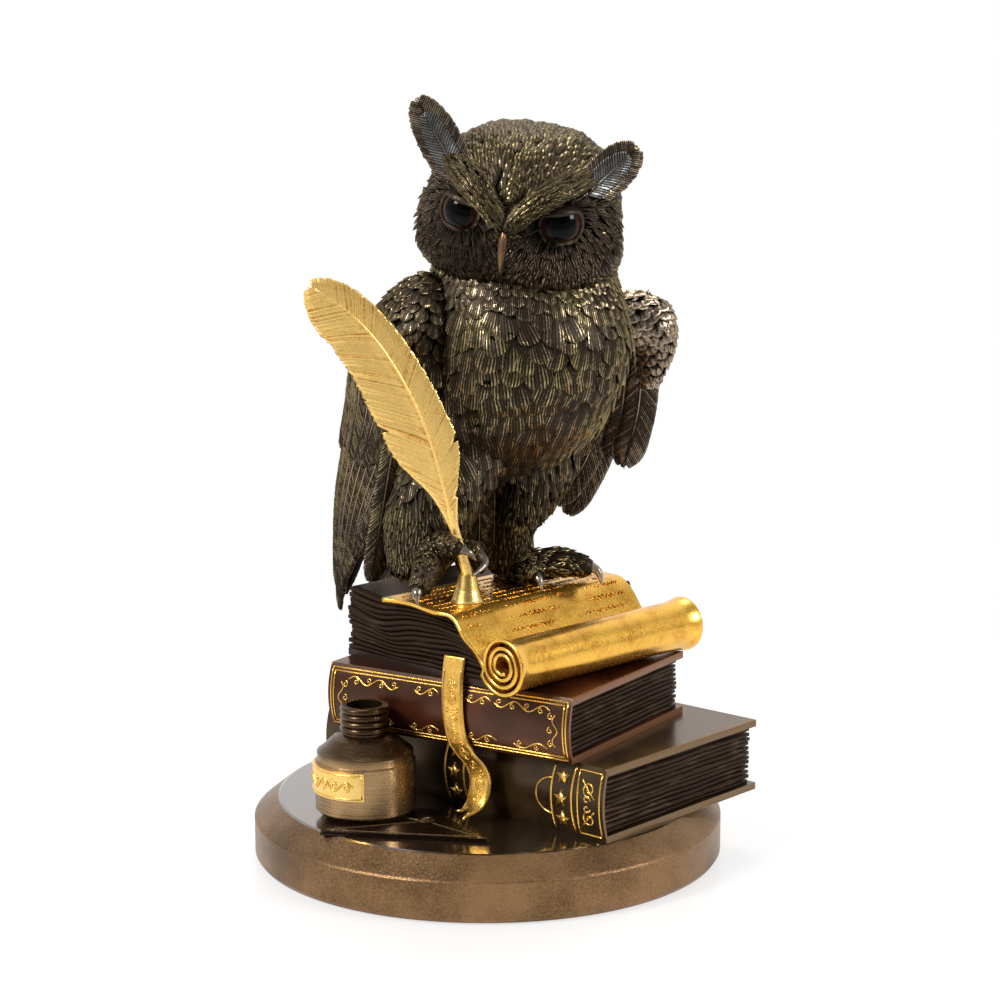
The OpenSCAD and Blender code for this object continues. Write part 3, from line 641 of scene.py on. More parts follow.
@dataclass(frozen=True)
class PlumageFinish:
    """Dark bronze whose raised barbs are rubbed bright, with an olive patina."""

    name: str
    brown: Colour = (0.036, 0.025, 0.018)
    olive: Colour = (0.037, 0.031, 0.015)
    rubbed: Colour = (0.52, 0.38, 0.27)
    gold: Colour = (0.42, 0.33, 0.145)
    bias: float = 0.0
    wear: float = 0.0
    shadow: Colour = (0.006, 0.0045, 0.003)

    def material(self) -> Material:
        """Builds the finish."""
        g = Graph(self.name)
        rub, tone = g.attribute("rub"), g.attribute("tone")
        cloud, grain = g.noise(16, 2), g.noise(0.8, 3)
        hue = (tone * 0.55 + cloud * 0.75 + self.bias).step(0.42, 0.82)
        body = g.mix(hue, self.brown, self.olive)
        deep = (rub + (grain - 0.5) * 0.35).step(0.10, 0.46)
        bright = (rub + (grain - 0.5) * 0.8 + (cloud - 0.5) * 0.7 + self.wear).step(0.58, 1.04)
        colour = g.mix(bright, g.mix(deep, self.shadow, body), g.mix(hue, self.rubbed, self.gold))
        return g.shade(Base_Color=colour, Metallic=bright * 0.45 + 0.5, Roughness=0.46 - bright * 0.18,
                       Specular_Tint=(0.78, 0.66, 0.54), Normal=g.bump(grain, 0.1, 0.5), IOR=1.38)


@dataclass(frozen=True)
class BronzeFinish:
    """Bare cast bronze: the plinth's, polished on top, or the bottle's, ringed up to its shoulder."""

    name: str
    dark: Colour
    light: Colour
    metal: float = 0.75
    rough: float = 0.36
    speckle: float = 0.3
    size: float = 0.8
    polished_above: float | None = None
    shoulder: float | None = None
    polish: Colour = (0.11, 0.072, 0.042)

    def material(self) -> Material:
        """Builds the finish."""
        g = Graph(self.name)
        cloud, grain = g.noise(22, 4), g.noise(self.size, 2)
        mask = ((cloud - 0.5) * 0.9 + (grain - 0.5) * self.speckle * 2 + 0.5).step(0.2, 0.8)
        colour = g.mix(mask, self.dark, self.light)
        rough: Sock | float = self.rough + (grain - 0.5) * 0.18
        height = grain
        top: Sock | float = 0.0
        if self.shoulder is not None:
            z = g.height()
            rings = g.noise(1.0, 4, (400, 400, 0.45))
            colour = g.mix((rings + (cloud - 0.5) * 0.4).step(0.35, 0.75), colour, self.light)
            colour = g.mix(z.step(self.shoulder * MM - 0.003, self.shoulder * MM + 0.001), colour, self.dark)
            height = grain * 0.25 + rings
        if self.polished_above is not None:
            top = g.height().step(self.polished_above * MM - 0.0002, self.polished_above * MM)
            colour = g.mix(top, colour, self.polish)
            rough = rough * (1 - top) + (0.17 + (cloud - 0.5) * 0.12) * top
            height = grain * (1 - top) + cloud * top * 0.3
        return g.shade(Base_Color=colour, Metallic=self.metal, Roughness=rough, Coat_Weight=top,
                       Coat_Roughness=0.1, Coat_IOR=1.8, IOR=1.5,
                       Normal=g.bump(height, 0.15, 0.35 + self.speckle))


@dataclass(frozen=True)
class GiltFinish:
    """Gilding with amber stain in its hollows."""

    name: str
    gold: Colour = (0.93, 0.55, 0.12)
    amber: Colour = (0.46, 0.17, 0.016)
    stain: float = 0.7
    rough: float = 0.27
    from_rub: float = 1.0
    beaten: float = 0.45
    metal: float = 0.92

    def material(self) -> Material:
        """Builds the finish."""
        g = Graph(self.name)
        rub = g.attribute("rub") * self.from_rub + 0.5 * (1 - self.from_rub)
        cloud, grain = g.noise(7, 4), g.noise(0.8, 3)
        mask = (rub * 1.1 + (cloud - 0.5) * self.stain * 2 + (grain - 0.5) * 0.5).step(0.10, 0.66)
        colour = g.mix(mask, self.amber, self.gold)
        return g.shade(Base_Color=colour, Metallic=self.metal, Roughness=self.rough + (grain - 0.5) * 0.2,
                       Normal=g.bump(grain, 0.1, self.beaten), IOR=1.5)


@dataclass(frozen=True)
class LacquerFinish:
    """A book's lacquered board, rubbed lighter along its edges."""

    name: str
    colour: Colour
    warm: Colour
    edge: Colour
    turn: float
    corner: tuple[float, float, float]
    size: tuple[float, float, float]

    def material(self) -> Material:
        """Builds the finish."""
        g = Graph(self.name)
        local = g.node("ShaderNodeMapping", {"vector_type": "TEXTURE"},
                       {"Vector": g.place(), "Location": tuple(c * MM for c in self.corner),
                        "Rotation": (0, 0, math.radians(self.turn)), "Scale": (MM, MM, MM)})
        parts = g.raw("ShaderNodeSeparateXYZ", None, {0: local})
        x, y, z = (Sock(g, parts.outputs[k]) for k in range(3))
        w, length, t = self.size
        cloud, grain = g.noise(14, 4), g.noise(0.7, 3)
        end = y.math("MINIMUM", length - y)
        fore = w - x
        face = z.math("MINIMUM", t - z)
        near = [1 - d.step(0.05, 1.5) for d in (end, fore, face)]
        pairs = near[0] * near[2] + near[1] * near[2] + near[0] * near[1]
        wear = (pairs + (grain - 0.5) * 0.9 + (cloud - 0.5) * 0.5).step(0.35, 0.8)
        flank = (1 - end.step(0.0, 0.06)) * 0.75
        fine = g.mix(cloud.step(0.35, 0.75), self.colour, self.warm)
        colour = g.mix(wear.math("MAXIMUM", flank), fine, self.edge)
        rough = 0.30 + (cloud - 0.5) * 0.2 + wear * 0.15
        return g.shade(Base_Color=colour, Metallic=0.15 + wear * 0.4, Roughness=rough, Coat_Weight=0.4,
                       Coat_Roughness=0.18, Coat_IOR=1.35, Coat_Tint=(1.0, 0.84, 0.66),
                       Specular_Tint=(1.0, 0.72, 0.5), Normal=g.bump(grain * 0.5 + cloud, 0.2, 0.25), IOR=1.5)


@dataclass(frozen=True)
class LeafFinish:
    """Dark leaves of a book, rubbed along their rims."""

    name: str
    deep: Colour = (0.006, 0.0035, 0.002)
    body: Colour = (0.020, 0.011, 0.007)
    rim: Colour = (0.15, 0.095, 0.055)

    def material(self) -> Material:
        """Builds the finish."""
        g = Graph(self.name)
        rub = g.attribute("rub")
        streak = g.noise(1.2, 4, (9, 9, 0.6))
        cloud = g.noise(12, 3)
        bright = (rub + (streak - 0.5) * 1.1 + (cloud - 0.5) * 0.6).step(0.70, 1.15)
        colour = g.mix(bright, g.mix(rub.step(0.05, 0.5), self.deep, self.body), self.rim)
        return g.shade(Base_Color=colour, Metallic=0.3 + bright * 0.35, Roughness=0.45 - bright * 0.06,
                       Specular_Tint=(0.75, 0.55, 0.4), Normal=g.bump(streak, 0.25, 0.6), IOR=1.3)


@dataclass(frozen=True)
class EyeFinish:
    """Dark polished glass with a red-brown iris round a black pupil, and a lighter ring at the iris's edge
    that is partly its own colour and partly a painted reflection.
    """

    name: str
    centre: Array
    gaze: Array
    pupil: Colour = (0.0008, 0.0008, 0.0008)
    iris: Colour = (0.030, 0.010, 0.007)
    # rim: a lighter ring at the iris's outer edge, partly the iris's own colour and partly a painted
    # reflection
    rim: Colour = (0.060, 0.020, 0.012)

    def material(self) -> Material:
        """Builds the finish."""
        g = Graph(self.name)
        maths = "ShaderNodeVectorMath"
        ray = g.node(maths, {"operation": "SUBTRACT"}, {0: g.place(), 1: tuple(self.centre * MM)})
        ray = g.node(maths, {"operation": "NORMALIZE"}, {0: ray})
        facing = g.node(maths, {"operation": "DOT_PRODUCT"}, {0: ray, 1: tuple(self.gaze)}, "Value")
        fibre = g.noise(0.8, 4)
        iris = (facing + (fibre - 0.5) * 0.015).step(0.80, 0.77)
        # The ring at the iris's edge: iris colour with a painted reflection in it.
        rim = facing.step(0.70, 0.64)
        colour = g.mix(rim, g.mix(iris, self.pupil, self.iris), self.rim)
        return g.shade(Base_Color=colour, Metallic=0.0, Roughness=0.06, IOR=1.2)


@dataclass(frozen=True)
class PlainFinish:
    """A small part's plain finish, with a fine grain."""

    name: str
    dark: Colour
    light: Colour
    metal: float
    rough: float
    grain: float = 0.5
    depth: float = 0.1

    def material(self) -> Material:
        """Builds the finish."""
        g = Graph(self.name)
        rub, grain = g.attribute("rub"), g.noise(self.grain, 3)
        mask = (rub + (grain - 0.5) * 0.7).step(0.3, 0.95)
        return g.shade(Base_Color=g.mix(mask, self.dark, self.light), Metallic=self.metal,
                       Roughness=self.rough + (grain - 0.5) * 0.15,
                       Normal=g.bump(grain, self.depth, 0.5), IOR=1.5)


# ---------------------------------------------------------------- castings that plumage lies on


class Casting:
    """A smooth copy of castings, as a ground for plumage."""

    def __init__(self, forms: Sequence[Mesh], grain: float = 1.3, passes: int = 6,
                 fit: Callable[[Array], Array] | None = None) -> None:
        """Copies castings, closes them into one skin and smooths it.

        Args:
            forms: the castings' meshes.
            grain: the size of its faces, in millimetres.
            passes: how often it is smoothed.
            fit: moves its points to where the skin under the feathers lies.
        """
        bm = bmesh.new()
        for form in forms:
            bm.from_mesh(form)
        bmesh.ops.remove_doubles(bm, verts=bm.verts[:], dist=1e-6)
        mesh = bpy.data.meshes.new("ground")
        bm.to_mesh(mesh)
        bm.free()
        body = bpy.data.objects.new("ground", mesh)
        bpy.context.scene.collection.objects.link(body)
        remesh = body.modifiers.new("remesh", "REMESH")
        remesh.mode, remesh.voxel_size = "VOXEL", grain * MM
        ease = body.modifiers.new("smooth", "SMOOTH")
        ease.factor, ease.iterations = 0.5, passes
        bpy.context.view_layer.update()
        graph = bpy.context.evaluated_depsgraph_get()
        self.mesh = bpy.data.meshes.new_from_object(body.evaluated_get(graph), depsgraph=graph)
        bpy.data.objects.remove(body)
        n = len(self.mesh.vertices)
        co, no = np.zeros(n * 3, np.float32), np.zeros(n * 3, np.float32)
        self.mesh.vertices.foreach_get("co", co)
        self.mesh.vertices.foreach_get("normal", no)
        self.points, self.normals = co.reshape(-1, 3).astype(float) / MM, no.reshape(-1, 3).astype(float)
        self.points = fit(self.points) if fit else self.points
        self.mesh.calc_loop_triangles()
        tri = np.zeros(len(self.mesh.loop_triangles) * 3, np.int32)
        self.mesh.loop_triangles.foreach_get("vertices", tri)
        self.triangles = tri.reshape(-1, 3)
        self.bvh = BVHTree.FromPolygons(self.points.tolist(), self.triangles.tolist())

    def covers(self, point: Array, margin: float = 0.5) -> bool:
        """Whether a point lies inside, deeper than margin."""
        near, normal, _, _ = self.bvh.find_nearest(Vector(point))
        return (Vector(point) - near).dot(normal) < -margin

    def scatter(self, spacing: Callable[[Array], Array], rng: Rng, keep: Callable[[Array, Array], Array],
                hidden_by: Sequence["Casting"] = ()) -> tuple[Array, Array]:
        """Evenly strewn points on the skin.

        Args:
            spacing: the least distance between points, for each point.
            rng: the source of places.
            keep: says which candidate points and normals are wanted.
            hidden_by: castings that hide the skin where they cover it.

        Returns:
            The points and the outward normals there.
        """
        a, b, c = (self.points[self.triangles[:, k]] for k in range(3))
        area = np.linalg.norm(np.cross(b - a, c - a), axis=1) / 2
        least = spacing((a + b + c) / 3)
        weight = area / least**2
        count = int(weight.sum() * CANDIDATES)
        pick = rng.choice(len(area), count, p=weight / weight.sum())
        u, v = rng.random((2, count, 1))
        flip = (u + v) > 1
        u, v = np.where(flip, 1 - u, u), np.where(flip, 1 - v, v)
        tri = self.triangles[pick]
        point = a[pick] * (1 - u - v) + b[pick] * u + c[pick] * v
        n0, n1, n2 = (self.normals[tri[:, k]] for k in range(3))
        normal = unit(n0 * (1 - u - v) + n1 * u + n2 * v)
        wanted = keep(point, normal)
        point, normal = point[wanted], normal[wanted]
        least = spacing(point)
        cell = float(least.max())
        grid: dict[tuple[int, int, int], list[int]] = {}
        taken: list[int] = []
        keys = np.floor(point / cell).astype(int)
        for i in range(len(point)):
            kx, ky, kz = keys[i]
            near = [j for dx in (-1, 0, 1) for dy in (-1, 0, 1) for dz in (-1, 0, 1)
                    for j in grid.get((kx + dx, ky + dy, kz + dz), ())]
            if near:
                gap = point[near] - point[i]
                if ((gap * gap).sum(1) < (0.5 * (least[near] + least[i])) ** 2).any():
                    continue
            if any(body.covers(point[i] + normal[i] * 0.8) for body in hidden_by):
                continue
            if self.bvh.ray_cast(Vector(point[i] + normal[i] * 0.6), Vector(normal[i]), 7.0)[0] is not None:
                continue
            grid.setdefault((kx, ky, kz), []).append(i)
            taken.append(i)
        return point[taken], normal[taken]

    def skin(self, name: str, sink: float, material: Material, replaces: str) -> None:
        """Makes the ground itself a piece, to close the gaps between feathers.

        Args:
            name: the piece's name.
            sink: how far it is sunk, in millimetres.
            material: its finish.
            replaces: the casting that it stands for.
        """
        shell = Shell()
        faces = [tuple(p.vertices) for p in self.mesh.polygons]
        shell.add(self.points - self.normals * sink, faces, None, 0.12, 0.4)
        shell.piece(name, material, "plumage_bronze", [replaces])


class Form(Enum):
    """The small feathers that are laid in numbers, in the order of their names."""

    FAN = "a_fan"
    SCALE = "b_scale"
    STRAND = "c_strand"
    LANCE = "d_lance"


@dataclass(frozen=True)
class FeatherForm:
    """A small feather one unit wide and one long, with barbs that fan out from its root."""

    form: Form
    barbs: int
    rows: int
    blunt: float
    root: float
    ridge: float
    dome: float
    shaft: float = 0.0
    fringe: float = 0.0

    def build(self) -> Object:
        """Makes the feather as a closed form."""
        columns = 2 * self.barbs + 1
        a = np.linspace(-1, 1, columns)
        v = np.linspace(0, 1, self.rows)[:, None] ** 0.85
        theta = a * math.pi / 2
        comb = np.where(np.arange(columns) % 2, 1.0, -1.0)[None, :]
        wide = self.root + (1 - self.root) * np.sin(np.clip(v / 0.85, 0, 1) * math.pi / 2)
        strong = 1 + 0.35 * np.sin(2.4 * np.arange(columns))[None, :]
        x = 0.5 * np.sin(theta)[None, :] * wide
        y = v * (1 - self.blunt * (1 - np.cos(theta))[None, :] * v**1.5 + self.fringe * comb * v**6)
        middle = np.exp(-((a / 0.16) ** 2))[None, :]
        barb = self.ridge * strong * comb * (0.2 + 0.8 * v) * (np.abs(a) < 0.99)[None, :]
        z = (self.dome * (1 - a**2)[None, :] + barb + self.shaft * middle * (1 - 0.6 * v)
             - 0.3 * self.dome * v**4)
        rub = (0.1 + 0.7 * (comb > 0) * strong * smooth(0.05, 0.6, v) + 0.2 * (v > 0.97)
               + 0.3 * min(self.shaft, 1) * middle)
        points = np.stack([x, y + 0 * x, z + 0 * x], -1).reshape(-1, 3)
        number = np.arange(self.rows * columns).reshape(self.rows, columns)
        faces = quads(number)
        faces.append((*number[:, 0], *number[-1, 1:-1], *number[::-1, -1], *number[0, -2:0:-1]))
        shell = Shell()
        shell.add(points / MM, faces, np.stack([x, y + 0 * x], -1), np.clip(rub + 0 * x, 0, 1.2))
        return bpy.data.objects.new(self.form.value, shell.mesh(self.form.value))


FORMS = (
    FeatherForm(Form.FAN, 14, 5, 0.50, 0.22, 0.15, 0.60, 0.1, 0.02),
    FeatherForm(Form.SCALE, 5, 4, 0.52, 0.50, 0.07, 0.46, 0.14, 0.0),
    FeatherForm(Form.STRAND, 2, 5, 0.72, 0.55, 0.22, 0.8, 0.0, 0.03),
    FeatherForm(Form.LANCE, 5, 5, 0.62, 0.42, 0.17, 0.7, 0.3, 0.03),
)


@dataclass
class Layer:
    """Feathers that lie on a casting, one value for each."""

    point: list = field(default_factory=list)
    aim: list = field(default_factory=list)
    out: list = field(default_factory=list)
    size: list = field(default_factory=list)
    tone: list = field(default_factory=list)
    form: list = field(default_factory=list)

    def lay(self, points: Array, normals: Array, flow: Array, size: Array | Sequence[float], form: Form,
            rng: Rng, tilt: float, rise: float, sway: float, tone: Array | float) -> None:
        """Lays feathers on a skin.

        Args:
            points: where their middles lie.
            normals: outward directions there.
            flow: the way that their tips point, roughly.
            size: width, length and height of each.
            form: which small feather.
            rng: the source of unevenness.
            tilt: how far the tips stand up, in degrees.
            rise: how far the middles stand above the skin.
            sway: how far they turn aside at random, in degrees.
            tone: their patina.
        """
        n = len(points)
        if not n:
            return
        aim = square_to(flow, normals)
        side = np.cross(aim, normals)
        angle = np.radians(rng.normal(0, sway, n))[:, None]
        aim = aim * np.cos(angle) + side * np.sin(angle)
        lean = np.radians(tilt + rng.uniform(-2.5, 2.5, n))[:, None]
        aim, out = aim * np.cos(lean) + normals * np.sin(lean), normals * np.cos(lean) - aim * np.sin(lean)
        size = np.broadcast_to(np.asarray(size, float), (n, 3)) * rng.uniform(0.9, 1.12, (n, 1))
        self.point.append(points - aim * size[:, 1:2] * 0.5 + normals * rise)
        self.aim.append(aim)
        self.out.append(out)
        self.size.append(size)
        self.tone.append(np.clip(np.broadcast_to(tone, (n,)) + rng.normal(0, 0.22, n), 0, 1))
        self.form.append(np.full(n, list(Form).index(form)))


class Plumage:
    """Turns layers of feathers into meshes by Geometry Nodes."""

    seed = 11
    unevenness = 0.06

    def __init__(self) -> None:
        """Makes the small feathers and the node tree that lays them."""
        self.forms = bpy.data.collections.new("small_feathers")
        bpy.context.scene.collection.children.link(self.forms)
        for form in FORMS:
            self.forms.objects.link(form.build())
        self.tree, self.inputs = self._tree()

    def _tree(self) -> tuple[bpy.types.NodeTree, dict[str, str]]:
        """Builds the tree: a small feather on each point, turned, sized and made real.

        Returns:
            The tree, and the identifier of each of its inputs.
        """
        tree = bpy.data.node_groups.new("lay_feathers", "GeometryNodeTree")
        g, names = Graph(tree), {}
        for label, kind in (("Points", "Geometry"), ("Small feathers", "Collection"), ("Finish", "Material"),
                            ("Overall size", "Float"), ("Unevenness", "Float"), ("Seed", "Int")):
            made = tree.interface.new_socket(label, in_out="INPUT", socket_type=f"NodeSocket{kind}")
            names[label] = made.identifier
        tree.interface.new_socket("Plumage", in_out="OUTPUT", socket_type="NodeSocketGeometry")
        entry = g.raw("NodeGroupInput")
        given = {label: Sock(g, entry.outputs[label]) for label in names}

        def stored(name: str, kind: str = "FLOAT_VECTOR") -> Sock:
            """A value that each point carries."""
            return g.node("GeometryNodeInputNamedAttribute", {"data_type": kind}, {"Name": name}, "Attribute")

        forms = g.node("GeometryNodeCollectionInfo", None,
                       {"Collection": given["Small feathers"], "Separate Children": True,
                        "Reset Children": False})
        turn = g.node("FunctionNodeAxesToRotation", {"primary_axis": "Z", "secondary_axis": "Y"},
                      {"Primary Axis": stored("out"), "Secondary Axis": stored("aim")})
        uneven = given["Unevenness"]
        jitter = g.node("FunctionNodeRandomValue", {"data_type": "FLOAT"},
                        {2: 1 - uneven, 3: uneven + 1, "Seed": given["Seed"]}, 1)
        size = g.node("ShaderNodeVectorMath", {"operation": "SCALE"},
                      {0: stored("size"), "Scale": given["Overall size"] * jitter})
        laid = g.node("GeometryNodeInstanceOnPoints", None,
                      {"Points": given["Points"], "Instance": forms, "Pick Instance": True,
                       "Instance Index": stored("form", "INT"), "Rotation": turn, "Scale": size})
        real = g.node("GeometryNodeRealizeInstances", None, {"Geometry": laid})
        done = g.node("GeometryNodeSetMaterial", None, {"Geometry": real, "Material": given["Finish"]})
        g.raw("NodeGroupOutput", None, {0: done})
        return tree, names

    def piece(self, layer: Layer, name: str, material: Material, slot: str,
              replaces: Sequence[str] = ()) -> Object:
        """Makes a layer one piece.

        Args:
            layer: the feathers.
            name: the piece's name.
            material: its finish.
            slot: its material slot in the record; not used.
            replaces: castings that it stands for.

        Returns:
            The piece.
        """
        cloud = bpy.data.meshes.new(name + "_places")
        cloud.from_pydata((np.vstack(layer.point) * MM).tolist(), [], [])
        for key, kind, values in (("aim", "FLOAT_VECTOR", np.vstack(layer.aim)),
                                  ("out", "FLOAT_VECTOR", np.vstack(layer.out)),
                                  ("size", "FLOAT_VECTOR", np.vstack(layer.size) * MM),
                                  ("tone", "FLOAT", np.concatenate(layer.tone)),
                                  ("form", "INT", np.concatenate(layer.form))):
            made = cloud.attributes.new(key, kind, "POINT")
            made.data.foreach_set("vector" if kind == "FLOAT_VECTOR" else "value",
                                  values.astype(np.int32 if kind == "INT" else np.float32).ravel())
        carrier = bpy.data.objects.new(name + "_places", cloud)
        bpy.context.scene.collection.objects.link(carrier)
        laid = carrier.modifiers.new("lay", "NODES")
        laid.node_group = self.tree
        for label, value in (("Small feathers", self.forms), ("Finish", material), ("Overall size", 1.0),
                             ("Unevenness", self.unevenness), ("Seed", self.seed)):
            laid[self.inputs[label]] = value
        bpy.context.view_layer.update()
        graph = bpy.context.evaluated_depsgraph_get()
        mesh = bpy.data.meshes.new_from_object(carrier.evaluated_get(graph), depsgraph=graph)
        carrier.modifiers.remove(laid)
        bpy.data.objects.remove(carrier)
        mesh.name = name
        return settle(bpy.data.objects.new(name, mesh), material, slot, replaces)

    def clear(self) -> None:
        """Takes the small feathers themselves out of the scene."""
        for feather in list(self.forms.objects):
            bpy.data.objects.remove(feather)
        bpy.data.collections.remove(self.forms)


# ---------------------------------------------------------------- finishes of the whole figurine


@dataclass(frozen=True)
class Finishes:
    """Every finish of the figurine."""

    felt: Material
    plinth: Material
    letter: Material
    copper: Material
    bottle: Material
    gilt: Material
    scroll: Material
    quill: Material
    steel: Material
    lower: Material
    middle: Material
    top: Material
    leaves: Material
    plumage: Material
    flight: Material
    crown: Material
    # darkened plumage: painted shade in the gaps between feathers and under the brows
    hollow: Material
    # plumage with a painted highlight, for the raised wing's scales
    wrist: Material
    silvered: Material
    plate: Material
    face: Material
    foot: Material
    claw: Material

    @classmethod
    def mixed(cls) -> "Finishes":
        """Mixes all of them."""
        looks = {
            "felt": PlainFinish("dark_felt", (0.008, 0.011, 0.008), (0.02, 0.026, 0.02), 0.0, 0.95, 0.4, 0.2),
            "plinth": BronzeFinish("plinth_bronze", (0.105, 0.058, 0.025), (0.31, 0.175, 0.080), 0.85, 0.36,
                                   0.35, 0.6, polished_above=Base.plinth_top - 0.2),
            "letter": PlainFinish("letter_bronze", (0.020, 0.010, 0.005), (0.16, 0.10, 0.05), 0.7, 0.26),
            "copper": PlainFinish("copper", (0.07, 0.036, 0.016), (0.30, 0.165, 0.075), 0.8, 0.33),
            "bottle": BronzeFinish("bottle_bronze", (0.085, 0.050, 0.024), (0.46, 0.295, 0.14), 0.9, 0.28,
                                   0.2, 0.6, shoulder=40.5),
            "gilt": GiltFinish("gilt"),
            "scroll": GiltFinish("stained_gilt", (0.95, 0.53, 0.085), (0.48, 0.18, 0.014), 0.5, 0.25,
                                 1.0, 0.2),
            "quill": GiltFinish("quill_gilt", (1.0, 0.66, 0.20), (0.55, 0.20, 0.02), 0.4, 0.27, metal=0.55),
            "steel": PlainFinish("steel", (0.3, 0.3, 0.3), (0.5, 0.5, 0.5), 1.0, 0.35),
            "lower": LOWER_BOOK.lacquer("olive_lacquer", (0.014, 0.009, 0.0035), (0.046, 0.030, 0.010),
                                        (0.16, 0.10, 0.048)),
            "middle": MIDDLE_BOOK.lacquer("oxblood_lacquer", (0.026, 0.006, 0.003), (0.070, 0.019, 0.009),
                                          (0.19, 0.085, 0.040)),
            "top": PlainFinish("top_lacquer", (0.022, 0.009, 0.005), (0.09, 0.045, 0.024), 0.35, 0.34),
            "leaves": LeafFinish("leaf_edges"),
            "plumage": PlumageFinish("plumage_bronze"),
            "flight": PlumageFinish("flight_bronze", (0.036, 0.026, 0.019), (0.038, 0.031, 0.017),
                                    (0.44, 0.33, 0.24), (0.40, 0.31, 0.16), wear=0.1),
            "crown": PlumageFinish("crown_bronze", (0.050, 0.033, 0.019), (0.050, 0.040, 0.017),
                                   (0.46, 0.34, 0.20), (0.37, 0.285, 0.12), 0.05, -0.01),
            # Painted shade: a near-black copy of the plumage for the skins between the feathers, the brow
            # shelves and the raised wing's arm.
            "hollow": PlumageFinish("hollow_bronze", (0.010, 0.007, 0.0045), (0.010, 0.008, 0.004),
                                    (0.04, 0.03, 0.02), (0.04, 0.03, 0.015)),
            # A lighter copy of the plumage for the raised wing's scales: rubbed bright like the rest, and
            # painted brighter still as the highlight on the wing's top.
            "wrist": PlumageFinish("wrist_bronze", (0.05, 0.034, 0.023), (0.045, 0.034, 0.02),
                                   (0.74, 0.58, 0.43), (0.62, 0.48, 0.33), wear=0.32),
            "silvered": PlumageFinish("silvered_bronze", (0.05, 0.046, 0.042), (0.045, 0.045, 0.04),
                                      (0.24, 0.245, 0.245), (0.21, 0.22, 0.22), wear=0.12),
            "plate": GiltFinish("plate_gilt", (0.98, 0.68, 0.22), (0.66, 0.33, 0.05), 0.4, 0.3, 0.0),
            "face": PlumageFinish("face_bronze", (0.020, 0.013, 0.009), (0.018, 0.013, 0.008),
                                  (0.56, 0.40, 0.28), (0.42, 0.29, 0.17), -0.2, -0.2),
            "foot": PlumageFinish("foot_bronze", (0.040, 0.026, 0.016), (0.036, 0.028, 0.013),
                                  (0.25, 0.18, 0.11)),
            "claw": PlainFinish("claw_bronze", (0.06, 0.052, 0.042), (0.42, 0.37, 0.29), 0.7, 0.28),
        }
        return cls(**{name: look.material() for name, look in looks.items()})


def dress(material: Material, *names: str) -> None:
    """Gives castings that are shown as they are their finish.

    Args:
        material: the finish.
        names: the castings.
    """
    for name in names:
        for place in frame["nodes"][name].material_slots:
            place.material = material


# ---------------------------------------------------------------- books


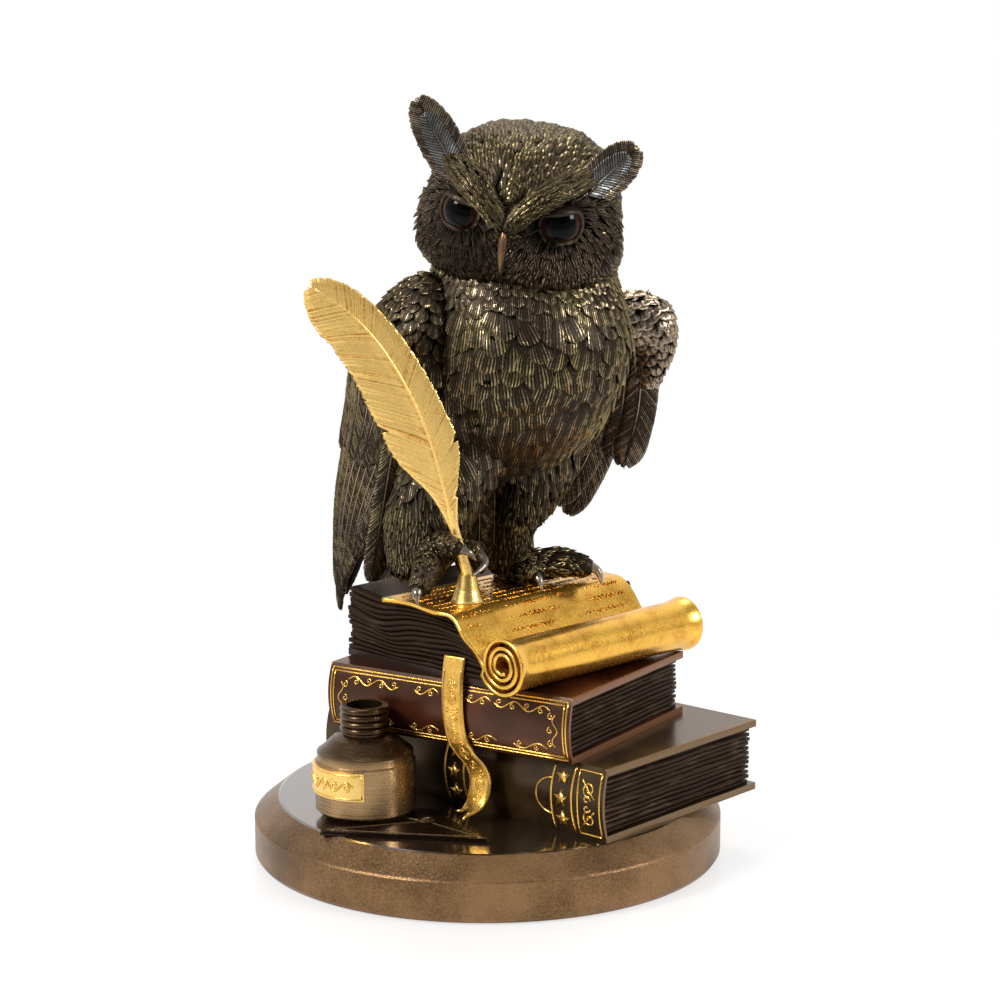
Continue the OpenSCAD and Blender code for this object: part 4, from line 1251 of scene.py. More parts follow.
@dataclass(frozen=True)
class Book:
    """A closed book that lies on its back board, its spine at x = 0 of its own frame."""

    place: Place
    turn: float
    width: float
    length: float
    thick: float
    bulge: float = 2.4
    board: float = 2.2
    square: float = 1.6

    def lacquer(self, name: str, colour: Colour, warm: Colour, edge: Colour) -> LacquerFinish:
        """The lacquer of its boards, rubbed along this book's own edges."""
        return LacquerFinish(name, colour, warm, edge, self.turn, tuple(self.place.shift),
                             (self.width, self.length, self.thick))

    def spine(self, s: Array, h: Array, off: float = 0.0) -> Array:
        """Points on the rounded spine.

        Args:
            s: how far along it.
            h: how high above the back board's underside.
            off: how far outside of its face.

        Returns:
            The points, in the figurine's frame.
        """
        s, h = np.broadcast_arrays(np.asarray(s, float), np.asarray(h, float))
        r = (self.thick**2 / 4 + self.bulge**2) / (2 * self.bulge)
        lean = np.arcsin(np.clip((h - self.thick / 2) / r, -1, 1))
        return self.place.at(np.stack([r - self.bulge - (r + off) * np.cos(lean), s,
                                       self.thick / 2 + (r + off) * np.sin(lean)], -1))

    def trace(self, shell: Shell, s: Array, h: Array, radius: float) -> None:
        """Lays a gilt line on the spine through places s along and h up."""
        tube(shell, self.spine(s, h, 0.05), radius, rub=0.75)

    def star(self, shell: Shell, s: float, h: float, size: float) -> None:
        """Lays a five-pointed star on the spine.

        Args:
            shell: where it goes.
            s: how far along its middle lies.
            h: how high.
            size: from its middle to a point.
        """
        a = np.radians(90 + np.arange(10) * 36)
        r = np.where(np.arange(10) % 2, 0.42, 1.0) * size
        rim = [self.spine(s + r * np.cos(a), h + r * np.sin(a), off) for off in (-0.2, 0.35)]
        middle = self.spine(s, h, 0.6)
        faces = [(i, (i + 1) % 10, 10 + (i + 1) % 10, 10 + i) for i in range(10)]
        faces += [(10 + i, 10 + (i + 1) % 10, 20) for i in range(10)] + [tuple(range(9, -1, -1))]
        shell.add(np.vstack([*rim, middle[None]]), faces, None, 0.9)

    def curl(self, shell: Shell, s: float, h: float, size: float, start: float, sweep: float,
             radius: float = 0.24) -> None:
        """Lays a curl that winds inwards.

        Args:
            shell: where it goes.
            s: how far along the spine its middle lies.
            h: how high.
            size: its outer radius.
            start: the angle of its outer end, in degrees.
            sweep: the angle that it winds by.
            radius: half the thickness of its line.
        """
        a = np.radians(np.linspace(start, start + sweep, 24))
        r = np.linspace(size, size * 0.22, 24)
        self.trace(shell, s + r * np.cos(a), h + r * np.sin(a), radius)

    def vine(self, shell: Shell, start: float, end: float, h: float, waves: int, tall: float) -> None:
        """Lays a wavy stem with a curl in every bend.

        Args:
            shell: where it goes.
            start: where it starts along the spine.
            end: where it ends.
            h: how high it runs.
            waves: how many waves it makes.
            tall: how far it swings to each side.
        """
        u = np.linspace(0, 1, waves * 16 + 1)
        self.trace(shell, start + (end - start) * u, h + tall * np.sin(u * waves * 2 * math.pi), 0.25)
        span = (end - start) / (2 * waves)
        for k in range(2 * waves):
            side = 1 if k % 2 == 0 else -1
            self.curl(shell, start + (k + 0.62) * span, h - side * 0.35 * tall, 0.85 * tall, 90 * side,
                      -side * 400 * np.sign(span))

    def panel(self, shell: Shell, start: float, end: float, inset: float) -> None:
        """Lays a border line round a part of the spine.

        Args:
            shell: where it goes.
            start: where it starts along the spine.
            end: where it ends.
            inset: how far it stays from the spine's edges.
        """
        along, up = np.linspace(start, end, 12), np.linspace(inset, self.thick - inset, 12)
        still = np.zeros(12)
        for s, h in ((along, still + up[0]), (along, still + up[-1]), (still + start, up), (still + end, up)):
            self.trace(shell, s, h, 0.3)

    def star_band(self, shell: Shell, s: float, curve_by: float) -> None:
        """Lays two curved bands across the spine with three stars between them.

        Args:
            shell: where they go.
            s: how far along the spine.
            curve_by: how far the bands bow.
        """
        u = np.linspace(0, 1, 16)
        for off in (-4.0, 4.0):
            self.trace(shell, s + off + curve_by * (1 - (2 * u - 1) ** 2), 1.2 + (self.thick - 2.4) * u, 0.38)
        for k in (-1, 0, 1):
            self.star(shell, s + curve_by * (1 - (k * 0.6) ** 2), self.thick / 2 + k * self.thick * 0.29, 2.8)

    def loop(self, shell: Shell, s: float, wide: float, high: float) -> None:
        """Lays a half-round loop that stands on a band."""
        a = np.linspace(0, math.pi, 22)
        self.trace(shell, s + wide * np.sin(a), self.thick / 2 + high * np.cos(a), 0.3)

    def block(self, shell: Shell, count: int, rng: Rng) -> None:
        """Builds the leaves between the boards.

        Args:
            shell: where they go.
            count: how many bundles show.
            rng: the source of their unevenness.
        """
        inner = self.thick - 2 * self.board
        pitch = inner / count
        core = 1.6 + self.square
        self._leaf(shell, self.width - core, (core, self.length - core),
                   (self.board + 0.02, self.thick - self.board - 0.02), rng, 0.0, 0.0)
        for k in range(count):
            low = self.board + k * pitch
            jut = rng.uniform(-0.35, 0.25, 3)
            self._leaf(shell, self.width - self.square + jut[0],
                       (self.square - jut[1], self.length - self.square + jut[2]),
                       (low + pitch * 0.06, low + pitch * rng.uniform(0.62, 0.80)), rng, 0.05, 0.7)

    def _leaf(self, shell: Shell, fore: float, ends: tuple[float, float], level: tuple[float, float],
              rng: Rng, wave: float, rub: float) -> None:
        """Builds one bundle of leaves as a wavy slab.

        Args:
            shell: where it goes.
            fore: how far it reaches from the spine.
            ends: where it starts and ends along the spine.
            level: the heights of its two faces.
            rng: the source of its waves.
            wave: how far they swing.
            rub: its rubbing.
        """
        x, y = np.meshgrid(np.linspace(0.3, fore, 34), np.linspace(*ends, 34), indexing="ij")
        a, b, c, d = rng.uniform(0, 6.3, 4)
        sway = (np.sin(x / 6.1 + a) + np.sin(x / 2.3 + b) * 0.6 + np.sin(y / 7.3 + c)
                + np.sin(y / 2.9 + d) * 0.6)
        y = y + wave * 2.2 * np.sin(x / 4.7 + c) * np.where(y < sum(ends) / 2, 1, -1)
        over, below = (self.place.at(np.stack([x, y, z + wave * sway], -1)) for z in level[::-1])
        closed_sheet(shell, over, below, np.stack([x, y], -1) / 10, np.full(x.shape, rub))


LOWER_BOOK = Book(LOWER, 47.8, 75.0, 118.0, 23.0)
MIDDLE_BOOK = Book(MIDDLE, 57.6, 70.3, 88.7, 20.4)


@dataclass(frozen=True)
class Library:
    """The two closed books with their gilding, and the open one that the owl stands on."""

    seed: int = 5
    top_thick: float = 21.0
    top_wide: float = 62.0
    top_deep: float = 76.0
    top_leaves: int = 13
    slant: float = 11.0
    curl: float = 1.6

    def build(self, finish: Finishes) -> None:
        """Builds and dresses the stack.

        Args:
            finish: the finishes.
        """
        rng = np.random.default_rng(self.seed)
        dress(finish.lower, "lower_book_cover")
        dress(finish.middle, "middle_book_cover")
        dress(finish.top, "top_book_cover")
        for book, count, name in ((LOWER_BOOK, 12, "lower_book"), (MIDDLE_BOOK, 11, "middle_book")):
            shell = Shell()
            book.block(shell, count, rng)
            shell.piece(name + "_leaves", finish.leaves, "page_brown", [name + "_pages"])
        self._gild(finish)
        self._open_book(finish, rng)

    def _gild(self, finish: Finishes) -> None:
        """Lays the gilding on both spines.

        Args:
            finish: the finishes.
        """
        shell = Shell()
        book = MIDDLE_BOOK
        book.panel(shell, 1.2, 87.5, 1.2)
        book.panel(shell, 2.2, 86.5, 2.2)
        top, low = book.thick - 4.4, 4.2
        for start, end, waves in ((7, 27, 2), (28, 37, 1), (47, 56, 1), (81, 62, 2)):
            book.vine(shell, start, end, top, waves, 1.15)
        for start, end, waves in ((8, 20, 1), (26, 37, 1), (47, 58, 1), (82, 64, 2)):
            book.vine(shell, start, end, low, waves, 1.15)
        for s, way in ((5.0, 1), (83.7, -1)):
            u = np.linspace(0, 1, 30)
            book.trace(shell, s + 0.9 * way * np.sin(u * 3 * math.pi), low + 1 + (top - low - 2) * u, 0.25)
            for share in (0.14, 0.5, 0.86):
                book.curl(shell, s + 1.6 * way, low + (top - low) * share, 1.1, 90, -360 * way)
        shell.piece("middle_spine_gilding", finish.gilt, "gilt")
        shell = Shell()
        book = LOWER_BOOK
        middle = book.thick / 2
        book.panel(shell, 1.3, 9.8, 1.6)
        for side in (-1, 1):
            book.curl(shell, 5.4, middle + side * 4.6, 2.5, -90 * side, 470 * side, 0.3)
            book.curl(shell, 6.2, middle + side * 1.3, 1.5, 180, -330 * side, 0.26)
            book.trace(shell, np.linspace(3.2, 8.6, 9), middle + side * np.linspace(2.0, 7.4, 9), 0.24)
        for s, bow in ((15.4, 0.8), (59, 1.2), (102, 1.2)):
            book.star_band(shell, s, bow)
        for s, wide in ((20.2, 6.0), (54.2, -6.0), (97, -6.0)):
            book.loop(shell, s, wide, 5.6)
        shell.piece("lower_spine_gilding", finish.gilt, "gilt")

    def _open_book(self, finish: Finishes, rng: Rng) -> None:
        """Builds the fanned leaves of the upper book.

        Args:
            finish: the finishes.
            rng: the source of small differences.
        """
        shell = Shell()
        board, t = 2.2, self.top_thick
        pitch = (t - board) / self.top_leaves
        v = np.linspace(0, 1, 60)
        phase = rng.uniform(0, 6.3, 6)
        for k in range(-1, self.top_leaves):
            core = k < 0
            low = board + 0.02 if core else board + k * pitch + 0.05
            high = t - 0.4 if core else board + (k + rng.uniform(0.72, 0.9)) * pitch
            x0 = 1.5 if core else rng.uniform(-1.6, 0.8)
            y0 = 1.6 if core else rng.uniform(-0.5, 0.5)
            y1 = self.top_deep - 1.6 if core else self.top_deep + rng.uniform(-0.6, 0.3)
            grids = []
            for level in (high, low):
                end = self.top_wide - self.slant * (level / t) ** 1.1
                end += -1.6 if core else rng.uniform(-0.3, 0.4)
                x = (x0 + (end - x0) * v)[:, None] + np.zeros(24)
                y = np.linspace(y0, y1, 24)[None, :] + np.zeros((60, 1))
                share = (level - board) / (t - board)
                z = level + share * (self.curl * np.clip(1 - x / 15, 0, 2) ** 2
                                     - 0.3 * (1 - np.cos(np.radians(720 * x / self.top_wide))))
                bulk = np.sin(math.pi * share)
                z = z + bulk * (1.3 * np.sin(x / 8.5 + phase[0] + 2.6 * share)
                                + 0.25 * np.sin(x / 3.1 + phase[1] + 5 * share)
                                + 0.12 * np.sin(y / 6 + phase[2]))
                if not core:
                    y = y + 0.35 * np.sin(x / 5.0 + k) * np.where(y < self.top_deep / 2, 1, -1)
                grids.append(TOP.at(np.stack([x, y, z], -1)))
            closed_sheet(shell, *grids, np.stack([x, y], -1) / 10, np.full(x.shape, 0.0 if core else 0.62))
        shell.piece("top_book_leaves", finish.leaves, "page_brown", ["top_book_pages"])


# ---------------------------------------------------------------- ribbon and scroll


@dataclass(frozen=True)
class Bookmark:
    """The ribbon that hangs out of the middle book, with a swallow-tail end."""

    wide: float = 7.6
    thick: float = 0.9
    notch: float = 4.4

    def build(self, finish: Finishes) -> None:
        """Builds the ribbon and its ornament.

        Args:
            finish: the finishes.
        """
        t, low = MIDDLE_BOOK.thick, 1.2 - LOWER_BOOK.thick
        path = curve([[-1, 41.2, t + 8], [-1.8, 41.2, t + 5], [-3.1, 41, t - 1], [-3.4, 40.6, t * 0.5],
                      [-2.9, 39.6, 3], [-1.8, 37.3, -1.5], [-0.2, 34.4, -6], [0.2, 33, -10.5],
                      [-1.2, 33.4, low + 6], [-3.4, 35.4, low + 2.6], [-5.5, 37.5, low + 1]], 160)
        lean = np.radians(curve([0, 0, 0, 2, 8, 12, 10, 0, -14, -24, -10], 160))
        ahead = headings(path)
        across = square_to(np.stack([0 * lean, np.cos(lean), np.sin(lean)], -1), ahead)
        out = np.cross(across, ahead)
        out = out * np.sign(-out[:, :1] + 1e-9)
        length = lengths(path)

        def at(s: Array, q: Array, off: Array | float) -> Array:
            """Points of the ribbon: s along, q across, off outwards."""
            middle, side, face = (read(s, length, values) for values in (path, across, out))
            return MIDDLE.at(middle + side * np.asarray(q)[..., None] + face * np.asarray(off)[..., None])

        q = np.linspace(-1, 1, 13)
        end = length[-1] - self.notch * (1 - np.abs(q))
        s = np.linspace(0, 1, 90)[:, None] * end[None, :]
        wide = q[None, :] * self.wide / 2 + np.zeros_like(s)
        half = self.thick / 2 * (0.35 * (1 - q[None, :] ** 8) + 0.65)
        shell = Shell()
        rub = 0.55 + 0.4 * (np.abs(q)[None, :] > 0.9) + 0 * s
        closed_sheet(shell, at(s, wide, half), at(s, wide, -half), np.stack([wide, s], -1) / 10, rub)
        edge = np.linspace(4, length[-1] - 2.5, 70)
        lines = [(edge, np.full(70, -3.0)), (edge, np.full(70, 3.0))]
        a, here, ornament = np.linspace(0, 2 * math.pi, 17), 9.0, itertools.cycle(("lozenge", "ring", "bars"))
        while here < length[-1] - 7:
            kind = next(ornament)
            if kind == "lozenge":
                lines += [(here + size * 2.6 * np.array([-1, 0, 1, 0, -1]),
                           size * 1.7 * np.array([0, 1, 0, -1, 0])) for size in (1.0, 0.5)]
            elif kind == "ring":
                lines += [(here + r * np.cos(a), r * np.sin(a)) for r in (1.3, 0.4)]
            else:
                lines += [(np.full(5, here + shift), np.linspace(-2.2, 2.2, 5)) for shift in (-0.5, 0.5)]
            here += {"lozenge": 4.4, "ring": 3.2, "bars": 3.4}[kind]
        for along, q in lines:
            tube(shell, at(along, q, self.thick / 2 + 0.02), 0.2)
        shell.piece("ribbon_with_ornament", finish.gilt, "gilt", ["bookmark_ribbon"])


@dataclass(frozen=True)
class Scroll:
    """The sheet under the owl that hangs over the upper book and ends in a roll."""

    thick: float = 1.3
    roll: float = 8.8
    turns: float = 3.3
    pitch: float = 1.8
    seed: int = 8

    def build(self, finish: Finishes) -> None:
        """Builds the sheet, its roll and the raised writing.

        Args:
            finish: the finishes.
        """
        book = Library()
        h, end = book.top_thick + 0.3 + self.thick / 2, book.top_wide - book.slant
        r = self.roll - self.thick / 2
        centre = np.array([book.top_wide + self.roll + 0.6, self.roll + 0.3])
        meet = math.radians(195)
        drop = curve([[end - 4, h], [end + 0.4, h - 0.5], [end + 4.4, h - 3.6], [end + 7.8, h - 8.2],
                      [end + 10.6, h - 12.6], centre + r * np.array([math.cos(meet), math.sin(meet)])], 34)
        a = np.linspace(0, 2 * math.pi * self.turns, 118)[1:]
        wound = np.stack([np.cos(meet + a), np.sin(meet + a)], -1)
        wound = centre + (r - self.pitch * a / (2 * math.pi))[:, None] * wound
        flat = np.stack([np.linspace(20, end - 4.8, 26), np.full(26, h)], -1)
        line = np.vstack([flat, drop, wound])
        ahead = headings(line)
        out = np.stack([-ahead[:, 1], ahead[:, 0]], -1)
        length = lengths(line)
        turn = np.arange(len(line)) - (len(flat) + len(drop))
        rolled = turn >= 0
        q = np.linspace(0, 1, 56)
        q = 0.5 - 0.5 * np.cos(q * math.pi) * (0.7 + 0.3 * np.cos(q * math.pi) ** 2)
        drape = smooth(end - 6, end + 10, line[:, 0])
        wavy = 1.6 * np.sin(length / 5.5) * (1 - drape) + drape * 1.4 * np.sin(length / 3.4)
        front, back = np.where(rolled, -4.0, -5 + wavy), np.where(rolled, 79.0, 72.0)
        ease = np.clip((length - length[rolled.argmax()]) / 6 + 1, 0, 1) * (1 - rolled)
        front = front * (1 - ease) + ease * -4.0
        y = front[:, None] + (back - front)[:, None] * q[None, :]
        flare = (1.2 * np.exp(-((y + 4) / 2.6) ** 2) + 0.9 * np.exp(-((y - 79) / 3.0) ** 2)) * rolled[:, None]
        flare = flare * np.clip(1.3 - np.maximum(turn, 0) / 60, 0.2, 1)[:, None]
        ripple = 0.35 * np.sin(y / 5.5 + length[:, None] / 6) * (~rolled * drape)[:, None]
        radial = unit(line - centre)[:, None, :] * flare[..., None]
        middle = line[:, None, :] + radial + out[:, None, :] * ripple[..., None]

        def solid(off: float) -> Array:
            """The sheet's points, off outwards of its middle."""
            p = middle + out[:, None, :] * off
            return TOP.at(np.stack([p[..., 0], y, p[..., 1]], -1))

        shell = Shell()
        rub = 0.5 + 0.35 * (np.minimum(q, 1 - q) * 60 < 1)[None, :] + 0 * y
        closed_sheet(shell, solid(self.thick / 2), solid(-self.thick / 2),
                     np.stack([y, np.broadcast_to(length[:, None], y.shape)], -1) / 10, rub)
        self._writing(shell, line, out, length, y)
        shell.piece("scroll_with_writing", finish.scroll, "gilt", ["scroll"])

    def _writing(self, shell: Shell, line: Array, out: Array, length: Array, y: Array) -> None:
        """Lays rows of raised strokes on the sheet and the roll's outer turn.

        Args:
            shell: where they go.
            line: the sheet's middle, seen from its front end.
            out: its outward directions.
            length: how far along it each point lies.
            y: the sheet's points across it.
        """
        rng = np.random.default_rng(self.seed)
        first = np.interp(24, line[:26, 0], length[:26])
        for row_at in np.arange(first, length[-1] * 0.62, 4.1):
            low = np.interp(row_at, length, y[:, 0]) + 3.2
            high = np.interp(row_at, length, y[:, -1]) - 4
            while low < high - 2.5:
                word = min(rng.uniform(3.5, 8), high - low)
                u = np.linspace(0, word, int(word / 0.55))
                lift = 0.75 * np.sin(u * 3.4 + rng.uniform(0, 6)) * rng.uniform(0.5, 1.0)
                lift += 0.2 * np.sin(u * 7)
                flat = read(row_at + lift, length, line + out * (self.thick / 2 + 0.02))
                tube(shell, TOP.at(np.stack([flat[:, 0], low + u, flat[:, 1]], -1)), 0.19, 5, 0.3)
                low += word + rng.uniform(1.0, 1.8)


# ---------------------------------------------------------------- quill


@dataclass(frozen=True)
class Quill:
    """The gilt feather that stands in its socket."""

    size: float = 105.0
    outer: float = 13.4
    inner: float = 7.8
    shaft: float = 1.7
    socket_up: float = 8.4
    seed: int = 3

    def build(self, finish: Finishes) -> None:
        """Builds the feather and dresses its socket.

        Args:
            finish: the finishes.
        """
        foot = np.array([-6.0, -18.0, OWL.shift[2] + self.socket_up])
        shares = np.array([[0, 0], [-0.035, 0.13], [-0.07, 0.28], [-0.105, 0.41], [-0.158, 0.54],
                           [-0.238, 0.68], [-0.335, 0.79], [-0.468, 0.882]])
        bend = np.stack([shares[:, 0], -0.12 * shares[:, 1], shares[:, 1]], -1) * self.size
        path = curve(bend, 72) + foot
        shell = Shell()
        tube(shell, np.vstack([foot - [0, 0, 4.6], path[:16]]),
             [self.shaft, *np.linspace(self.shaft, 1.35, 16)], 14, 0.8)
        shapes = ([0.1, 0.34, 0.88, 1, 0.98, 0.92, 0.84, 0.72], [0.14, 0.5, 1, 0.95, 0.9, 0.86, 0.82, 0.76])

        def reach(u: Array) -> tuple[Array, Array]:
            """Half widths to the outer and the inner side at shares u of the vane."""
            u, grid = np.clip(u, 0, 1), np.linspace(0, 1, 57)
            outer, inner = (np.interp(u, grid, curve(shape, 56)) for shape in shapes)
            tip = round_tip(u, 0.86, 0.004, 0.001)
            return outer * tip * self.outer, inner * tip * self.inner

        form = VaneForm(pitch=0.85, slant=0.9, relief=0.14, crown=0.6, shaft=0.7, columns=10, ragged=0.03,
                        uneven=0.8, wear=0.22)
        vane(shell, path[10::4], unit(np.array([0, -1, -0.12])), reach, form,
             np.random.default_rng(self.seed), notches=((0, 0.30, 0.2), (1, 0.10, 0.3), (1, 0.24, 0.2)))
        shell.piece("quill_feather", finish.quill, "gilt", ["quill"])
        dress(finish.plate, "quill_socket")


# ---------------------------------------------------------------- base


@dataclass(frozen=True)
class Base:
    """The plinth with its felt, the letter with its seal, and the ink bottle."""

    plinth_top: float = 19.4
    letter: float = 1.2
    seal: tuple[float, float] = (-19.0, -38.6)
    bottle: tuple[float, float] = (-38.0, -26.6)
    bottle_r: float = 15.6
    label_low: float = 7.5
    label_high: float = 8.8

    def build(self, finish: Finishes) -> None:
        """Dresses the castings and lays the letter's folds and the label's flourish.

        Args:
            finish: the finishes.
        """
        dress(finish.felt, "felt_pad")
        dress(finish.plinth, "plinth")
        dress(finish.letter, "letter")
        dress(finish.copper, "wax_seal")
        dress(finish.bottle, "ink_bottle")
        dress(finish.plate, "ink_label")
        dress(finish.steel, "stack_pins", "leg_rod")
        z, seal, shell = self.plinth_top + self.letter, np.array(self.seal), Shell()
        front, right, back = np.array([[-49, -46.6], [-2.2, -54.8], [-47.2, -22.6]])
        for a, b in ((front, seal), (seal, right), (back, seal), (front, right)):
            flat = a + (b - a) * np.linspace(0, 1, 20)[:, None]
            tube(shell, np.hstack([flat, np.full((20, 1), z + 0.02)]), 0.24, rub=0.85)
        for a in np.arange(7) * 0.9 + 0.3:
            foot, way = seal + [math.cos(a), math.sin(a)], np.array([math.sin(a), math.cos(a)])
            bow = [[*(foot + out * way), z + up] for out, up in ((0, 0.72), (0.5, 0.95), (0.9, 0.72))]
            tube(shell, np.array(bow), 0.28, 7, 1.0)
        shell.piece("letter_folds", finish.letter, "base_bronze")
        self._flourish(finish)

    def _flourish(self, finish: Finishes) -> None:
        """Lays a rim and a scrolled flourish on the label plate.

        Args:
            finish: the finishes.
        """
        shell = Shell()
        low = self.plinth_top + self.letter + self.label_low
        r, high, middle = self.bottle_r + 0.75, self.label_high - 0.7, self.label_high / 2

        def at(angle: Array, up: Array) -> Array:
            """Points on the plate's face."""
            w = np.radians(angle)
            return np.stack([self.bottle[0] + r * np.cos(w), self.bottle[1] + r * np.sin(w), low + up], -1)

        turn = np.linspace(174.5, 268.5, 40)
        for up in (0.7, high):
            tube(shell, at(turn, np.full(40, up)), 0.25, rub=0.9)
        for angle in turn[[0, -1]]:
            tube(shell, at(np.full(6, angle), np.linspace(0.7, high, 6)), 0.25, rub=0.9)
        u = np.linspace(0, 1, 90)
        tube(shell, at(184 + 75 * u, middle + 1.9 * np.sin(u * 5 * math.pi) * (1 - 0.3 * u)), 0.34, 7)
        a, rad = np.linspace(0, 2.4 * math.pi, 20), np.linspace(1.25, 0.3, 20)
        for k in range(5):
            tube(shell, at(191.5 + 15 * k + np.degrees(rad * np.sin(a) / r),
                           middle + (1 if k % 2 else -1) * (0.3 + rad * np.cos(a))), 0.24)
        shell.piece("label_flourish", finish.gilt, "gilt")


# ---------------------------------------------------------------- the owl


def limb(shell: Shell, place: Place, points: Sequence, radii: Sequence, steps: int = 24, sides: int = 16,
         rub: float = 0.3, tone: float = 0.5) -> None:
    """Adds a rounded limb.

    Args:
        shell: where it goes.
        place: the frame of its points.
        points: what its middle passes through.
        radii: its radii there.
        steps: how finely it is cut lengthwise.
        sides: how finely it is cut round.
        rub: rubbing.
        tone: its patina.
    """
    line, radius = rounded(curve(points, steps), curve(radii, steps))
    tube(shell, place.at(line), radius, sides, rub, tone)


def above_feet(p: Array) -> Array:
    """How high above the owl's feet points of the figurine lie."""
    return OWL.back(p)[:, 2]


@dataclass(frozen=True)
class Torso:
    """Breast, belly, back and thighs, with their feathers."""

    seed: int = 21
    half_width: float = 32.5

    def build(self, finish: Finishes, plumage: Plumage, others: Sequence[Casting]) -> Casting:
        """Builds the skin and lays its feathers.

        Args:
            finish: the finishes.
            plumage: lays the feathers.
            others: castings that hide parts of it.

        Returns:
            The torso's skin.
        """
        rng = np.random.default_rng(self.seed)
        body = Casting([frame["nodes"]["torso"].data], 1.4, 8)
        # The skin under the feathers takes the near-black finish: painted shade in the gaps between them.
        body.skin("torso_skin", 1.7, finish.hollow, "torso")

        def spacing(p: Array) -> Array:
            """Wide on the breast and close on neck and thighs."""
            z = above_feet(p)
            return 2.5 + 2.1 * smooth(97, 84, z) - 0.8 * smooth(46, 36, z) - 1.9 * smooth(36, 24, z)

        points, normals = body.scatter(
            spacing, rng, lambda p, n: (above_feet(p) < 107) & (above_feet(p) > 3) & (n[:, 2] < 0.97), others)
        local = OWL.back(points)
        z = local[:, 2]
        flow = OWL.way(np.stack([-local[:, 0] * 0.006, 0.1 + 0 * z, -1 + 0 * z], -1))
        tone = 0.5 + 0.28 * np.sin(local[:, 0] / 9 + 1) + 0.2 * np.sin(z / 7)
        wide = (5.0 + 4.6 * smooth(97, 84, z) - 2.6 * smooth(46, 34, z))[:, None]
        scale = np.hstack([wide, 2.2 + wide * 0.92, 0.9 + 0.07 * wide])
        trunk, front = (z < 93) & (z > 34), local[:, 1] < 0
        for name, part, tilt in (("neck_feathers", z >= 93, 12.0), ("breast_feathers", trunk & front, 8.0),
                                 ("back_feathers", trunk & ~front, 8.0)):
            layer = Layer()
            layer.lay(points[part], normals[part], flow[part], scale[part], Form.FAN, rng,
                      tilt, -0.7, 9, tone[part])
            plumage.piece(layer, name, finish.plumage, "plumage_bronze")
        self._hanging(finish, rng)
        leg, layer = z <= 34, Layer()
        long = (9.5 - 3.0 * smooth(25, 8, z))[:, None]
        scale = np.hstack([0.36 * long, long, 0 * long + 1.3])
        layer.lay(points[leg], normals[leg], flow[leg], scale[leg], Form.LANCE, rng,
                  7, -0.5, 10, tone[leg] - 0.1)
        plumage.piece(layer, "thigh_feathers", finish.plumage, "plumage_bronze")
        return body

    def _hanging(self, finish: Finishes, rng: Rng) -> None:
        """Hangs the long feathers that show between the legs.

        Args:
            finish: the finishes.
            rng: the source of small differences.
        """
        shell, reach, form = Shell(), long_feather(3.4, 3.4, 0.5, 2, 0.75, 1), VaneForm(crown=0.6)
        for root, end in (((-19, 14.5, 36), (-19.5, 15, 5)), ((-15, 11.5, 36), (-15.4, 12, 3)),
                          ((-11, 8.6, 36), (-11.4, 9, 2.2)), ((-7, 6.0, 34), (-7.6, 6.2, 3))):
            vane(shell, OWL.at(np.linspace(root, end, 7)), OWL.way([-0.61, -0.78, 0.1]), reach, form, rng)
        shell.piece("hanging_feathers", finish.flight, "plumage_bronze")


# Rows of strands round each eye: radius, length, width, count, tilt in degrees
DISC_ROWS = ((9.0, 6.4, 1.1, 64, 5), (11.4, 8.4, 1.2, 76, 6), (14.0, 8.6, 1.3, 88, 7),
             (16.6, 7.4, 1.5, 92, 10), (19.0, 5.6, 2.0, 90, 15))
# Rows of feathers along each brow: height over its ridge, length, width, how far they stand out
BROW_ROWS = ((-2.2, 5.4, 1.6, 1.3), (-1.3, 6.0, 1.7, 1.8), (-0.4, 6.4, 1.7, 1.6), (0.7, 6.6, 2.0, 1.1),
             (2.0, 6.2, 2.3, 0.6), (3.4, 5.8, 2.5, 0.1))


